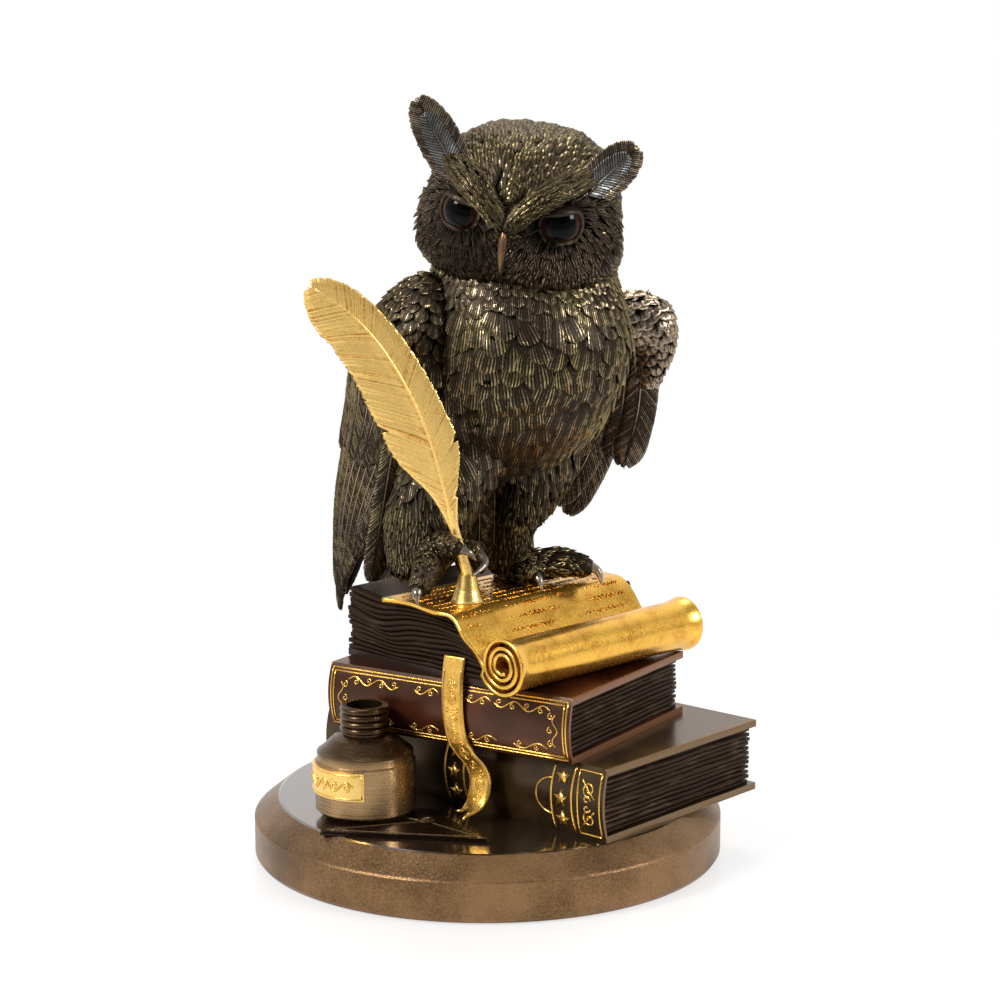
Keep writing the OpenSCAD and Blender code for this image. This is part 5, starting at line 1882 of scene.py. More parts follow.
@dataclass(frozen=True)
class Head:
    """The head: facial discs, brows, lids, beak, crown feathers and ear tufts."""

    seed: int = 33
    eye: tuple[float, float, float] = (14.2, -20.4, 0.5)
    eye_r: float = 7.4
    nose: tuple[float, float, float] = (0.0, -30.0, -2.4)
    upper: float = 0.40
    lower: float = 0.64

    def build(self, finish: Finishes, plumage: Plumage) -> None:
        """Builds the head round the glass eyes.

        Args:
            finish: the finishes.
            plumage: lays the small feathers.
        """
        rng = np.random.default_rng(self.seed)

        def fit(p: Array) -> Array:
            """Draws the temples in and the crown down, to leave room for the feathers."""
            q = HEAD.back(p)
            narrow = 1 - (0.04 + 0.035 * smooth(-12, 2, q[:, 2])) * smooth(10, 24, np.abs(q[:, 0]))
            low = 1.2 * smooth(10, 22, q[:, 2])
            return HEAD.at(np.stack([q[:, 0] * narrow, q[:, 1], q[:, 2] - low], -1))

        skull = Casting([frame["nodes"]["head"].data], 0.9, 5, fit)
        # The skin under the head's feathers takes the near-black finish: painted shade in the gaps between
        # them.
        skull.skin("head_skin", 0.9, finish.hollow, "head")
        self._crown(finish, plumage, skull, rng)
        self._face(finish, plumage, skull, rng)
        self._lids(finish)
        self._beak(finish)
        self._tufts(finish, rng)
        for side, name in ((1, "left_eye"), (-1, "right_eye")):
            centre, gaze = self._eye(side)
            dress(EyeFinish(name + "_glass", HEAD.at(centre), HEAD.way(gaze)).material(), name)

    def _eye(self, side: int) -> tuple[Array, Array]:
        """The centre of one eye and the way it looks, in the head's frame."""
        centre = np.array([side * self.eye[0], self.eye[1], self.eye[2]])
        return centre, unit(np.array([side * 0.30, -1, -0.02]))

    def _crown(self, finish: Finishes, plumage: Plumage, skull: Casting, rng: Rng) -> None:
        """Lays the forehead, crown, cheek and nape feathers.

        Args:
            finish: the finishes.
            plumage: lays the small feathers.
            skull: the head's casting.
            rng: the source of small differences.
        """
        nose = np.array(self.nose)

        def spacing(p: Array) -> Array:
            """Closer on the forehead."""
            q = HEAD.back(p)
            front = smooth(-4, -14, q[:, 1]) * smooth(-2, 6, q[:, 2])
            return 2.6 - 0.2 * front - 0.1 * smooth(0, -12, q[:, 1])

        def keep(p: Array, n: Array) -> Array:
            """Clear of the facial discs, the chin's underside and the beak.

            Args:
                p: points of the figurine.
                n: their normals.

            Returns:
                Which of them carry a feather.
            """
            q = HEAD.back(p)
            eye = np.hypot(np.abs(q[:, 0]) - self.eye[0], q[:, 2] - self.eye[2])
            disc = (eye < 13.5) & (q[:, 1] < -10) & (q[:, 2] < 7.5 + 0.25 * (np.abs(q[:, 0]) - 10))
            low = (q[:, 2] < -22.4) & (n[:, 2] < -0.5)
            return ~disc & ~low & (np.hypot(q[:, 0], q[:, 2] + 6) > 3.5)

        points, normals = skull.scatter(spacing, rng, keep)
        q = HEAD.back(points)
        away = (q - nose) * np.where(q[:, 1:2] < -6, np.array([[0.6, 1.0, 1.0]]), 1.0)
        flow = HEAD.way(unit(away) - np.array([0, 0, 1.2]) * smooth(0, 20, q[:, 1])[:, None])
        front = (q[:, 1] < -6) & (q[:, 2] > 2)
        tone = 0.55 + 0.2 * np.sin(q[:, 0] / 5) + 0.2 * front
        layer, rest = Layer(), ~front
        layer.lay(points[front], normals[front], flow[front], (3.9, 5.2, 1.0), Form.SCALE, rng,
                  9, -0.3, 7, tone[front])
        size = (4.3 + 1.0 * smooth(-12, 8, q[rest, 1]))[:, None]
        layer.lay(points[rest], normals[rest], flow[rest], np.hstack([size, size * 1.15, size * 0.25]),
                  Form.SCALE, rng, 13, -0.3, 9, tone[rest] - 0.15)
        plumage.piece(layer, "crown_feathers", finish.crown, "plumage_bronze")

    def _face(self, finish: Finishes, plumage: Plumage, skull: Casting, rng: Rng) -> None:
        """Lays the radial strands of the facial discs, the brows and the rim.

        Args:
            finish: the finishes.
            plumage: lays the small feathers.
            skull: the head's casting.
            rng: the source of small differences.
        """
        layer = Layer()

        def on_face(x: Array, z: Array) -> tuple[Array, Array, Array]:
            """Points of the face seen from its front, their normals, and which of them exist.

            Args:
                x: how far left of the face's middle.
                z: how high above the head's centre.

            Returns:
                The points, their normals, and which of them exist.
            """
            hits, normals, good = [], [], []
            ahead = Vector(HEAD.way(np.array([0.0, 1.0, 0.0])))
            for a, b in zip(x, z):
                hit, normal, _, _ = skull.bvh.ray_cast(Vector(HEAD.at(np.array([a, -60.0, b]))), ahead, 70)
                good.append(hit is not None)
                hits.append(tuple(hit) if hit else (0, 0, 0))
                normals.append(tuple(normal) if hit else (0, 0, 1))
            return np.array(hits, float), np.array(normals, float), np.array(good)

        shelf, brows = Shell(), Layer()
        for side in (-1, 1):
            cx, cz = side * self.eye[0], self.eye[2]
            for radius, long, wide, count, tilt in DISC_ROWS:
                a = np.linspace(0, 2 * math.pi, count, endpoint=False) + rng.uniform(-0.03, 0.03, count)
                radius = radius + rng.uniform(-1.3, 1.3, count)
                x, z = cx + radius * np.cos(a), cz + radius * np.sin(a)
                wanted = (side * x > 0.8) & (z < 6.8 + 0.26 * (np.abs(x) - 8)) & (np.abs(x) < 31)
                points, normals, good = on_face(x[wanted], z[wanted])
                out = HEAD.way(np.stack([np.cos(a), 0 * a + 0.2, np.sin(a) - 0.3], -1)[wanted])
                layer.lay(points[good], normals[good], out[good], (wide, long, 1.0), Form.STRAND, rng,
                          tilt, 0.3, 10, 0.1)
            ridge = curve([[side * 1.0, -30, -1.4], [side * 6.8, -28.2, 5.2], [side * 13.4, -23.5, 9.9],
                           [side * 19.6, -16.5, 13.6], [side * 24, -10, 16.5]], 50)
            ahead = headings(ridge)
            points, normals, good = on_face(ridge[2:46:3, 0], ridge[2:46:3, 2])
            lip = points[good] + normals[good] * 0.3 + HEAD.way([0, -0.9, 0])
            tube(shelf, *rounded(lip, np.linspace(0.9, 1.7, len(lip))), 12, 0.15, 0.3)
            for lift, long, wide, rise in BROW_ROWS:
                at = rng.permutation(48)[:34]
                points, normals, good = on_face(ridge[at, 0], ridge[at, 2] + lift)
                flow = HEAD.way(ahead[at] + np.array([0, 0, 0.10 * lift]))
                brows.lay(points[good], normals[good], flow[good], (wide, long, 1.2), Form.LANCE, rng,
                          5, rise, 5, 0.5)
        z = np.arange(-1.0, 17.0, 1.3)
        points, normals, good = on_face(rng.uniform(-0.9, 0.9, len(z)), z)
        brows.lay(points[good], normals[good], HEAD.way([0, 0.2, 1.0]) + 0 * points[good], (4.0, 5.2, 1.0),
                  Form.SCALE, rng, 9, -0.1, 7, 0.6)
        # The brow shelves take the near-black finish: painted shade under the brows, over the tops of the
        # eyes.
        shelf.piece("brow_shelves", finish.hollow, "plumage_bronze")
        plumage.piece(layer, "face_strands", finish.face, "plumage_bronze")
        plumage.piece(brows, "brow_strands", finish.crown, "plumage_bronze")

    def _lids(self, finish: Finishes) -> None:
        """Builds the lids: bands on the eyes, lower over the top of each.

        Args:
            finish: the finishes.
        """
        shell = Shell()
        for side in (-1, 1):
            centre, gaze = self._eye(side)
            right = unit(np.cross(gaze, [0, 0, 1]))
            above = np.cross(right, gaze)
            a = np.linspace(0, 2 * math.pi, 57)[:-1]
            cover = np.cos(a - math.radians(90 - 12 * side))
            cut = np.where(cover > 0, self.upper, self.lower) / np.maximum(np.abs(cover), 0.05)
            inner = np.degrees(np.arcsin(np.minimum(cut, math.sin(math.radians(52)))))
            shares = np.array([0, 0.08, 0.2, 0.4, 0.7, 1.0])
            theta = np.radians(inner[:, None] + (92 - inner[:, None]) * shares[None, :])
            way = (np.cos(theta)[..., None] * gaze + np.sin(theta)[..., None]
                   * (np.cos(a)[:, None, None] * right + np.sin(a)[:, None, None] * above))
            bead = np.array([0.25, 0.8, 0.7, 0.55, 0.5, 0.4])[None, :, None]
            over = centre + way * (self.eye_r + 0.1 + bead)
            below = centre + way * (self.eye_r + 0.06)
            rows, cols = theta.shape
            number = np.arange(rows * cols).reshape(rows, cols)
            loop = np.vstack([number, number[:1]])
            low = loop + rows * cols
            faces = quads(loop) + [f[::-1] for f in quads(low)]
            for k in range(rows):
                for j in (0, cols - 1):
                    faces.append((loop[k, j], loop[k + 1, j], low[k + 1, j], low[k, j]))
            rub = np.broadcast_to(np.array([0.4, 0.7, 0.3, 0.15, 0.1, 0.1]), (rows, cols))
            shell.add(HEAD.at(np.concatenate([over.reshape(-1, 3), below.reshape(-1, 3)])), faces, None,
                      np.concatenate([rub.reshape(-1)] * 2), 0.3)
        shell.piece("eye_lids", finish.plumage, "plumage_bronze")

    def _beak(self, finish: Finishes) -> None:
        """Builds the hooked beak with its keel.

        Args:
            finish: the finishes.
        """
        nose = np.array(self.nose)
        line = nose + curve([[0, 1.5, 3.0], [0, -1.6, 1.2], [0, -3.5, -1.8], [0, -4.2, -5.8], [0, -3.6, -9.9],
                             [0, -2.2, -13.0]], 26)
        radii = curve([0.9, 1.4, 1.75, 1.5, 0.95, 0.25], 26)
        ahead, n = headings(line), 22
        a = np.arange(n) * 2 * math.pi / n
        keel = 1 + 0.22 * np.exp(-((np.angle(np.exp(1j * (a - 1.5 * math.pi))) / 0.35) ** 2))
        rings = []
        for k, (point, t) in enumerate(zip(line, ahead)):
            side = np.array([1.0, 0, 0])
            front = unit(np.cross(side, t))
            front = front if front[1] < 0 else -front
            rings.append(point + radii[k] * (0.82 * np.cos(a)[:, None] * side
                                             - (keel * np.sin(a))[:, None] * front))
        shell = Shell()
        rub = np.repeat((0.45 + 0.3 * (keel > 1.1))[None, :], len(line), 0)
        shell.add(HEAD.at(np.concatenate(rings)), ring_faces(len(line), n), None, rub)
        shell.piece("beak_with_keel", finish.copper, "copper", ["beak"])

    def _tufts(self, finish: Finishes, rng: Rng) -> None:
        """Builds the leaf-shaped ear tufts.

        Args:
            finish: the finishes.
            rng: the source of small differences.
        """
        for side, name, base, tip in ((1, "left_ear_tuft", (22.0, -15, 10.5), (33.4, -4, 23.4)),
                                      (-1, "right_ear_tuft", (-17.5, -17, 9.0), (-34.2, -12, 30.4))):
            tip, base = np.array(tip), np.array(base)
            way = unit(tip - base)
            face = unit(np.array([side * 0.2, -1, 0.15]))
            u = np.linspace(0, 1, 7)[:, None]
            guide = base - way * 3 + (tip + way * 0.6 - base + way * 3) * u - face * 1.2 * np.sin(math.pi * u)

            def reach(u: Array) -> tuple[Array, Array]:
                """Leaf-shaped half widths to both sides at shares u of the length."""
                w = np.sqrt(np.clip(1 - ((u - 0.52) / np.where(u < 0.52, 0.72, 0.495)) ** 2, 0.01, 1))
                return (7.6 * w, 6.4 * w) if side < 0 else (6.6 * w, 7.0 * w)

            leaf = VaneForm(pitch=0.85, slant=0.9, relief=0.14, thick=1.6, crown=0.5, columns=8, ragged=0.03)
            shell = Shell()
            vane(shell, HEAD.at(guide), HEAD.way(face), reach, leaf, rng, 0.2)
            shell.piece(name + "_feather", finish.flight, "plumage_bronze", [name])
            barbs = replace(leaf, pitch=1.1, relief=0.26, thick=0.7, shaft=0.42, columns=6)
            shell = Shell()
            vane(shell, HEAD.at(guide[:6] + face * 1.5), HEAD.way(face),
                 lambda u: tuple(0.62 * w for w in reach(u)), barbs, rng, 0.2)
            shell.piece(name + "_barbs", finish.silvered, "plumage_bronze")


@dataclass(frozen=True)
class FoldedWing:
    """The wing that lies along the owl's right side."""

    seed: int = 44
    length: float = 110.0
    top: float = 104 * 0.965
    turn: float = 6.0
    # Share of the length down from the shoulder, out past the torso, back, half thickness, half width
    rings: tuple = ((0.0, -4, 10, 3, 5), (0.04, -1.0, 11, 6, 10), (0.12, 2, 13, 8.4, 15),
                    (0.26, 3.6, 17, 8.2, 18.5), (0.4, 3.2, 22, 7.2, 18.5), (0.53, 3.6, 29, 6.0, 16),
                    (0.67, 4.4, 36, 5, 12.5), (0.81, 4.2, 42.5, 3.6, 8.5), (0.93, 3.6, 47.5, 2.6, 5),
                    (1, 3.2, 50.5, 1.2, 1.8))

    def share(self, p: Array) -> Array:
        """How far down from the shoulder points of the figurine lie, as shares of the wing's length."""
        return (self.top - above_feet(p)) / self.length

    def on(self, share: Array, q: Array, off: float = 0.0) -> tuple[Array, Array]:
        """Points on the wing's outer face.

        Args:
            share: how far down from the shoulder, 0 to 1.
            q: across it, -1 at the front edge and 1 at the back edge.
            off: how far outside of it.

        Returns:
            The points and the outward normals, in the figurine's frame.
        """
        table = curve(self.rings, 120)
        share, q = np.broadcast_arrays(np.asarray(share, float), np.asarray(q, float))
        _, out, back, a, b = (np.interp(share, table[:, 0], table[:, k]) for k in range(5))
        angle = math.pi - np.arcsin(np.clip(q, -1, 1))
        x, y = a * np.cos(angle), b * np.sin(angle)
        nx, ny = np.cos(angle) / np.maximum(a, 0.5), np.sin(angle) / np.maximum(b, 0.5)
        spin = turned("Z", self.turn).T
        middle = np.stack([-Torso.half_width - out, back, self.top - share * self.length], -1)
        normal = unit(np.stack([nx, ny, 0 * share], -1) @ spin)
        return OWL.at(middle + np.stack([x, y, 0 * share], -1) @ spin + normal * off), OWL.way(normal)

    def build(self, finish: Finishes, plumage: Plumage) -> Casting:
        """Builds the wing's skin, its tiers of coverts and its flight feathers.

        Args:
            finish: the finishes.
            plumage: lays the coverts.

        Returns:
            The wing's skin.
        """
        rng = np.random.default_rng(self.seed)

        def fit(p: Array) -> Array:
            """Draws the middle of the wing in, to leave room for the feathers."""
            q, share = OWL.back(p), self.share(p)
            inward = 3.6 * smooth(0.06, 0.36, share) * (1 - 0.6 * smooth(0.5, 0.75, share))
            return OWL.at(q + (inward * smooth(-32, -40, q[:, 0]))[:, None] * np.array([1.0, 0, 0]))

        skin = Casting([frame["nodes"]["folded_wing"].data], 1.2, 5, fit)
        # The skin under the coverts takes the near-black finish: painted shade in the gaps between them.
        skin.skin("folded_wing_skin", 1.2, finish.hollow, "folded_wing")
        shell, blend = Shell(), np.linspace(0, 1, 9)
        for lower, start, stop, count, wide, off in ((True, 0.38, 1.035, 9, 2.8, -0.9),
                                                     (False, 0.24, 0.57, 8, 3.7, 0.1)):
            reach = long_feather(wide, wide * (0.75 if lower else 1.0), 0.5, 3, 0.82, 0.85)
            for k in range(count):
                q = -0.86 + 1.74 * k / (count - 1)
                last = stop - (0.30 * abs(k / (count - 1) - 0.62) if lower else 0.05 * abs(q))
                point, normal = self.on(np.linspace(start, last, 9), q * (1 - 0.12 * blend))
                guide = point + normal * (off + 0.3 * (k % 2) + 0.4 * blend)[:, None]
                vane(shell, guide, normal, reach, VaneForm(slant=1.7), rng, rng.uniform(0.1, 0.9))
        for root, end in (((-39, 16, 52), (-46, 21, 2.5)), ((-37, 18, 50), (-43, 24, 1.5)),
                          ((-35, 20, 50), (-40, 27, 1.5)), ((-34, 23, 48), (-37, 30, 2)),
                          ((-32, 26, 46), (-34, 33, 3))):
            vane(shell, OWL.at(np.linspace(root, end, 7)), OWL.way([-0.35, -0.94, 0.1]), reach,
                 VaneForm(), rng)
        shell.piece("folded_wing_feathers", finish.flight, "plumage_bronze")
        points, normals = skin.scatter(lambda p: 2.6 + 2.0 * smooth(0.1, 0.3, self.share(p)), rng,
                                       lambda p, n: self.share(p) < 0.36)
        wide = (4.4 + 3.0 * smooth(0.1, 0.3, self.share(points)))[:, None]
        layer = Layer()
        layer.lay(points, normals, OWL.way([0, 0.25, -1.0]) + 0 * points,
                  np.hstack([wide, wide * 1.2, wide * 0.2]), Form.FAN, rng, 10, -0.4, 7, 0.45)
        plumage.piece(layer, "folded_wing_coverts", finish.plumage, "plumage_bronze")
        return skin


@dataclass(frozen=True)
class RaisedWing:
    """The wing held up and out on the owl's left: a scaly arm with painted shade on the skin under it, and
    long flight feathers.
    """

    seed: int = 55
    shoulder: float = 82.16
    wrist: tuple[float, float, float] = (45.6, -5.6, 81.12)
    face: tuple[float, float, float] = (0.616, 0.788, 0.1)

    def build(self, finish: Finishes, plumage: Plumage) -> None:
        """Builds the arm, lays its scales and hangs its flight feathers.

        Args:
            finish: the finishes.
            plumage: lays the small feathers.
        """
        rng = np.random.default_rng(self.seed)
        wrist, back = np.array(self.wrist), unit(np.array(self.face))
        arm = Shell()
        limb(arm, OWL, [[26.5, 4, self.shoulder], [36.5, 0, self.shoulder + 0.5], wrist,
                        wrist + [5.4, -2.2, -1.5]], [7.5, 8.4, 8.0, 5], 22, 24)
        limb(arm, OWL, [wrist + [-1.0, 0.4, 6], wrist + [1.2, -1, 0.5], wrist + [3.6, -1.5, -8],
                        wrist + [3.6, 1.5, -20]], [4.5, 8.0, 6.2, 3.2], 22, 24)
        skin = Casting([arm.mesh("arm")], 1.0, 5)
        # The arm's skin takes the near-black finish: painted shade under the scales and under the arm.
        skin.skin("raised_wing_arm", 0.6, finish.hollow, "raised_wing")
        points, normals = skin.scatter(lambda p: 2.1 + 0.5 * smooth(80, 66, above_feet(p)), rng,
                                       lambda p, n: above_feet(p) > 60)
        layer = Layer()
        layer.lay(points, normals, OWL.way([0.3, -0.15, -1]) + 0 * points, (4.6, 3.8, 1.5), Form.FAN, rng,
                  15, 0.0, 12, 0.2)
        # The scales take the lighter finish: a painted highlight on the raised wing's top.
        plumage.piece(layer, "raised_wing_scales", finish.wrist, "plumage_bronze")
        shell = Shell()
        form = VaneForm(pitch=0.95, slant=1.2, relief=0.17, thick=1.3, crown=0.9, shaft=0.5, columns=7,
                        ragged=0.01)
        for root, bend, end, wide, deep in (
                ((48.2, -2.0, 76), (50.4, 2.0, 52), (48.2, 7.4, 31.0), 6.2, 0.0),
                ((44.5, 0.5, 74), (46.0, 5.4, 50), (44.2, 10.0, 34.0), 5.6, 1.8),
                ((41.0, 2.0, 72), (41.4, 8.6, 48), (38.6, 14.0, 36.0), 6.0, 3.2),
                ((37.0, 4.0, 72), (36.6, 10.0, 50), (33.0, 16.0, 34.0), 6.0, 4.4),
                ((46.4, 7.4, 55), (43.2, 14.6, 32), (36.4, 22.4, 13.2), 4.9, 3.4),
                ((42.0, 8.0, 55), (38.0, 14.0, 33), (31.0, 22.0, 17.0), 5.0, 4.8)):
            vane(shell, OWL.at(curve([root, bend, end], 6) + back * deep), OWL.way(-back),
                 long_feather(wide, wide, 0.45, 1.5, 0.80, 0.9), form, rng, rng.uniform(0.1, 0.4))
        shell.piece("raised_wing_feathers", finish.flight, "plumage_bronze")


@dataclass(frozen=True)
class Tail:
    """Five tail feathers that slope down at the back."""

    seed: int = 66
    long: float = 50.0
    down: float = 42.0

    def build(self, finish: Finishes) -> None:
        """Builds the feathers.

        Args:
            finish: the finishes.
        """
        rng = np.random.default_rng(self.seed)
        shell, reach = Shell(), long_feather(5.6, 5.6, 0.5, 2, 0.86, 1)
        form = VaneForm(pitch=1.35, slant=0.8, relief=0.2, thick=1.5, crown=0.6, shaft=0.6, columns=6)
        u = np.linspace(0, 1, 7)[:, None]
        for i in range(-2, 3):
            place = OWL.inside(turned("X", -self.down) @ turned("Z", -i * 5), [0, 31.5, 23])
            root, end = np.array([i * 2.0, -2, 0]), np.array([i * 2.0, self.long, -abs(i) * 0.9])
            guide = root + (end - root) * u + [0, 0, 1] * (1.5 * np.sin(math.pi * u) - 0.5 * abs(i))
            vane(shell, place.at(guide), place.way([0, 0, 1]), reach, form, rng, 0.4)
        shell.piece("tail_feathers", finish.flight, "plumage_bronze", ["tail"])


@dataclass(frozen=True)
class Legs:
    """The standing leg with its shaggy foot, and the foot that grips the perch."""

    seed: int = 77

    def build(self, finish: Finishes, plumage: Plumage) -> None:
        """Builds toes, claws and their strands.

        Args:
            finish: the finishes.
            plumage: lays the small feathers.
        """
        rng = np.random.default_rng(self.seed)
        shell, fur, claws = Shell(), Layer(), Shell()
        ankle = np.array([-3.5, 0, 17.6])
        limb(shell, OWL, [ankle + [0, 0, 2], ankle - [0, 0.2, 6], [-3, -1, 3]], [5, 4.8, 5], 20, 20)
        toes = (([[-3.5, -2, 5], [-5, -9, 6], [-5.5, -13, 4.4]], [4.4, 3.4, 2.4]),
                ([[-2, -2.5, 5.6], [5, -11, 7.4], [11, -18, 6.2]], [4.6, 4, 3.2]),
                ([[-1, -2, 5], [9, -6, 5.4], [17, -10.4, 4]], [4.4, 3.4, 2.6]),
                ([[-3, 0, 4], [-1, 8, 3.4], [0.5, 13, 2.6]], [4.2, 3.2, 2.2]))
        for points, radii in toes:
            limb(shell, OWL, points, radii, 30, 18, 0.25, 0.4)
            self._strands(fur, points, radii, 60, rng, last=26)
            self._strands(fur, points, radii, 170, rng, Form.SCALE, (1.9, 2.2, 0.8), 39)
        self._strands(fur, [ankle + [0, 0, 4], ankle - [0, 0.2, 6], [-3, -1, 5]], [5, 4.8, 5], 260, rng)
        for points, r in (([[-5.5, -12.6, 5], [-5.8, -15.2, 3.4], [-5.8, -16.2, 0.6]], 1.5),
                          ([[11, -17.6, 7], [13, -21.4, 5], [13.4, -22.8, 0.8]], 1.8),
                          ([[17, -10.2, 4.6], [20.4, -12, 3.4], [21.2, -12.6, 0.6]], 1.5),
                          ([[0.5, 12.6, 3], [1.2, 16, 2], [1.4, 17.4, 0.5]], 1.5)):
            limb(claws, OWL, points, [r, r * 0.75, 0.3], 14, 14, 0.7, 0.5)
        shell.piece("standing_foot", finish.foot, "foot_bronze", ["standing_leg"])
        shell = Shell()
        for points, radii in (([[-35, 6, 15], [-36.5, 1.5, 15.4], [-37.4, -2.6, 14]], [5.4, 5.4, 5.0]),
                              ([[-37.4, -1, 15.6], [-37.6, -6, 18.4], [-35.8, -11.4, 17.2]], [4.0, 3.4, 2.5]),
                              ([[-36.6, -1, 14], [-31, -4.6, 15.6], [-26.2, -9.8, 14.6]], [4.0, 3.1, 2.3]),
                              ([[-38, -1.5, 14], [-42, -3.6, 9.6], [-45.4, -5, 4.6]], [4.4, 3.8, 3.0])):
            limb(shell, OWL, points, radii, 34, 20, 0.25, 0.4)
            self._strands(fur, points, radii, 330, rng, Form.SCALE, (1.7, 2.0, 0.8), 39)
        for points, r in (([[-35.8, -11, 17], [-33.4, -14.2, 16], [-31.4, -15, 13.4]], 1.5),
                          ([[-26.4, -9.4, 14.8], [-27.4, -14.6, 11.8], [-33.4, -16.2, 8.8]], 1.7),
                          ([[-45.4, -4.8, 5], [-47.6, -6.4, 3.4], [-48, -7.4, 0.6]], 2)):
            limb(claws, OWL, points, [r, r * 0.75, 0.3], 18, 14, 0.6, 0.5)
        shell.piece("gripping_foot", finish.foot, "foot_bronze", ["gripping_leg"])
        claws.piece("claws", finish.claw, "foot_bronze")
        plumage.piece(fur, "foot_strands", finish.foot, "foot_bronze")

    def _strands(self, layer: Layer, points: Sequence, radii: Sequence, count: int, rng: Rng,
                 form: Form = Form.STRAND, size: Sequence[float] = (1.4, 6.4, 1.1), last: int = 34) -> None:
        """Lays strands or small scutes along a limb, towards its end.

        Args:
            layer: where they go.
            points: what the limb's middle passes through.
            radii: its radii there.
            count: how many there are.
            rng: the source of their places.
            form: strands or scutes.
            size: their width, length and height.
            last: the last of 40 steps along the limb that they start from.
        """
        line, r = curve(points, 40), curve(radii, 40)
        ahead = headings(line)
        at = rng.integers(0, last, count)
        spin = rng.uniform(0, 2 * math.pi, count)
        axis = unit(np.cross(ahead, [0.3, 0.2, 0.9]))
        other = np.cross(ahead, axis)
        out = np.cos(spin)[:, None] * axis[at] + np.sin(spin)[:, None] * other[at]
        skin = line[at] + out * r[at][:, None]
        layer.lay(OWL.at(skin), OWL.way(out), OWL.way(ahead[at]), size, form, rng, 5, 0.05, 9, 0.4)


# ---------------------------------------------------------------- studio


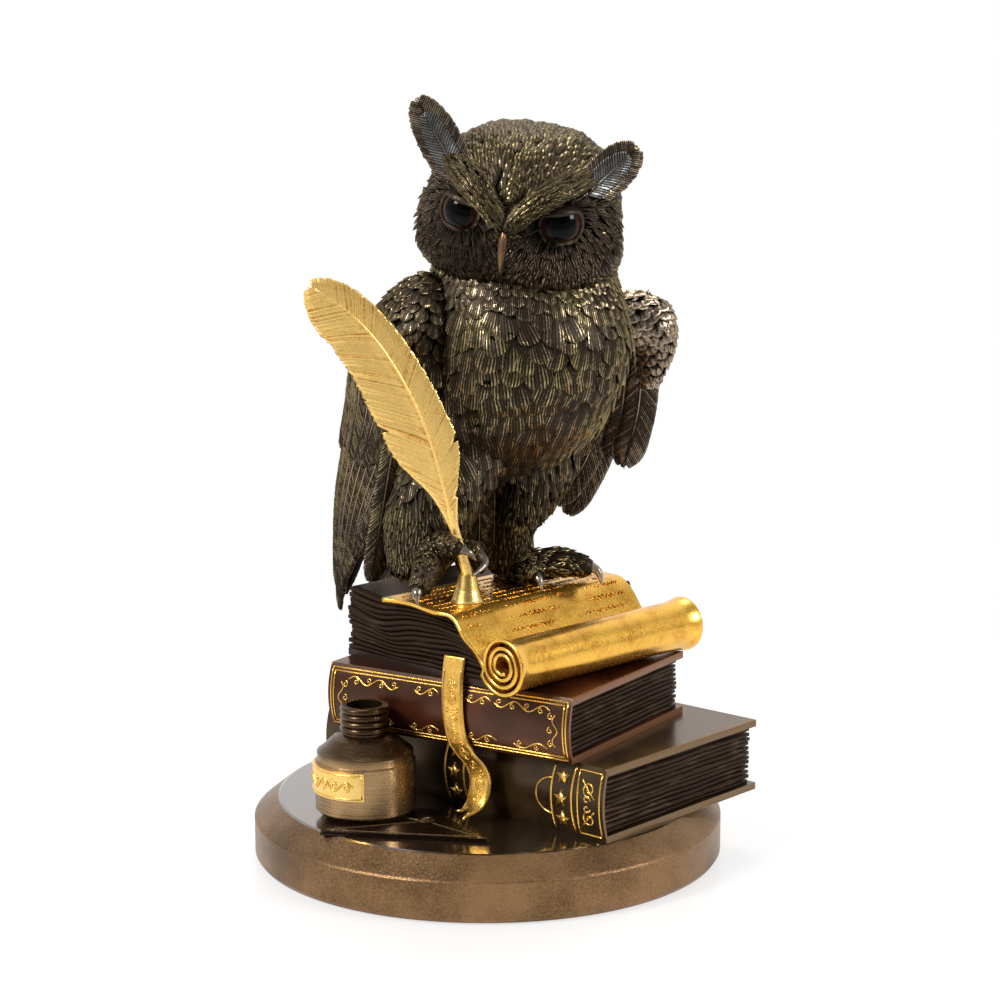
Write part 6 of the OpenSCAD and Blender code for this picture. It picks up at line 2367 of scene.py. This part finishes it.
@dataclass(frozen=True)
class Studio:
    """Camera, white floor, surrounding light and lamps."""

    eye: tuple[float, float, float] = (0.0, -0.75985, 0.25026)
    forward: tuple[float, float, float] = (0.00555, 0.98425, -0.17669)
    roll: float = -0.189
    lens: float = 87.93

    def build(self) -> None:
        """Sets the studio up."""
        self._camera()
        self._floor()
        self._world()
        self._lamp("key", (-0.85, -0.55, 0.85), 0.35, 15.0)
        self._lamp("fill", (0.95, -0.40, 0.60), 0.35, 9.0)
        self._lamp("overhead", (0.05, 0.45, 1.15), 0.6, 8.0)
        bpy.context.scene.view_settings.view_transform = "Standard"

    def _camera(self) -> None:
        """Places the camera."""
        ahead = Vector(self.forward).normalized()
        right = ahead.cross(Vector((0, 0, 1))).normalized()
        up = right.cross(ahead)
        c, s = math.cos(math.radians(self.roll)), math.sin(math.radians(self.roll))
        side, top = right * c + up * s, up * c - right * s
        turn = Matrix((side, top, -ahead)).transposed().to_4x4()
        lens = bpy.data.cameras.new("camera")
        lens.lens, lens.sensor_width, lens.sensor_fit = self.lens, 36, "HORIZONTAL"
        lens.clip_start, lens.clip_end = 0.05, 60
        camera = bpy.data.objects.new("camera", lens)
        camera.matrix_world = Matrix.Translation(Vector(self.eye)) @ turn
        bpy.context.scene.collection.objects.link(camera)
        bpy.context.scene.camera = camera

    def _floor(self) -> None:
        """Lays a wide white floor that keeps the shadow."""
        g = Graph("white_floor")
        ray = g.raw("ShaderNodeLightPath")
        y = g.node("ShaderNodeSeparateXYZ", None, {0: g.place()}, "Y")
        front = y.step(-0.40, -0.14)
        seen = Sock(g, ray.outputs["Is Camera Ray"])
        for name in ("Is Glossy Ray", "Is Transmission Ray"):
            seen = seen.math("MAXIMUM", Sock(g, ray.outputs[name]) * (front * 0.75 + 0.25))
        far = g.node("ShaderNodeVectorMath", {"operation": "LENGTH"}, {0: g.place()}, "Value")
        far = far.step(0.14, 0.42)
        white = g.mix(front, (0.12, 0.12, 0.12), (0.80, 0.79, 0.78))
        ground = g.node("ShaderNodeBsdfPrincipled", None,
                        {"Base Color": white, "Roughness": 0.12, "Specular IOR Level": 0.6})
        glow = g.node("ShaderNodeEmission", None, {"Color": (1, 1, 1, 1), "Strength": 1.0})
        mix = g.node("ShaderNodeMixShader", None, {0: seen * (far * 0.32 + 0.68), 1: ground, 2: glow})
        g.raw("ShaderNodeOutputMaterial", None, {0: mix})
        mesh = bpy.data.meshes.new("floor")
        mesh.from_pydata([(-20, -20, 0), (20, -20, 0), (20, 20, 0), (-20, 20, 0)], [], [(0, 1, 2, 3)])
        mesh.materials.append(g.owner)
        floor = bpy.data.objects.new("floor", mesh)
        bpy.context.scene.collection.objects.link(floor)
        floor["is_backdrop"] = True

    def _world(self) -> None:
        """Surrounds the figurine with white behind and dimmer light in front."""
        world = bpy.data.worlds.new("surround")
        bpy.context.scene.world = world
        g = Graph(world)
        parts = g.raw("ShaderNodeSeparateXYZ", None, {0: g.node("ShaderNodeTexCoord", output="Generated")})
        x, y, z = (Sock(g, parts.outputs[k]) for k in range(3))
        behind = y.step(0.0, 0.6)
        above = z.step(0.3, 0.95) * 0.3
        left = (x * -1).step(0.3, 0.95) * 0.6
        right = x.step(0.35, 0.95) * 0.45
        level = behind.math("MAXIMUM", above.math("MAXIMUM", left.math("MAXIMUM", right))) * 0.94 + 0.06
        level = level.math("MAXIMUM", Sock(g, g.raw("ShaderNodeLightPath").outputs["Is Camera Ray"]))
        glow = g.node("ShaderNodeBackground", None, {"Color": (1, 1, 1, 1), "Strength": level})
        g.raw("ShaderNodeOutputWorld", None, {0: glow})

    def _lamp(self, name: str, place: Sequence[float], size: float, power: float) -> None:
        """Hangs a square lamp that looks at the figurine.

        Args:
            name: its name.
            place: where it hangs, in metres.
            size: its width.
            power: its power in watts.
        """
        lamp = bpy.data.lights.new(name, "AREA")
        lamp.size, lamp.energy = size, power
        holder = bpy.data.objects.new(name, lamp)
        holder.location = place
        holder.rotation_euler = (Vector((0, 0, 0.11)) - Vector(place)).to_track_quat("-Z", "Y").to_euler()
        bpy.context.scene.collection.objects.link(holder)


def note_size(label: str, sizes: dict[str, list[list[float]]]) -> None:
    """Keeps the size of what is shown."""
    low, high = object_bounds()
    sizes[label] = [list(map(float, low)), list(map(float, high))]


def main() -> None:
    """Builds and dresses the figurine, then the studio round it."""
    logging.basicConfig(level=logging.INFO, format="%(message)s")
    sizes: dict[str, list[list[float]]] = {}
    note_size("loaded", sizes)
    finish = Finishes.mixed()
    plumage = Plumage()
    Base().build(finish)
    Library().build(finish)
    Bookmark().build(finish)
    Scroll().build(finish)
    Quill().build(finish)
    wing = FoldedWing().build(finish, plumage)
    head = Casting([frame["nodes"]["head"].data], 1.6, 2)
    Torso().build(finish, plumage, [wing, head])
    Head().build(finish, plumage)
    RaisedWing().build(finish, plumage)
    Tail().build(finish)
    Legs().build(finish, plumage)
    plumage.clear()
    Studio().build()
    note_size("shown", sizes)


if __name__ == "__main__":
    main()
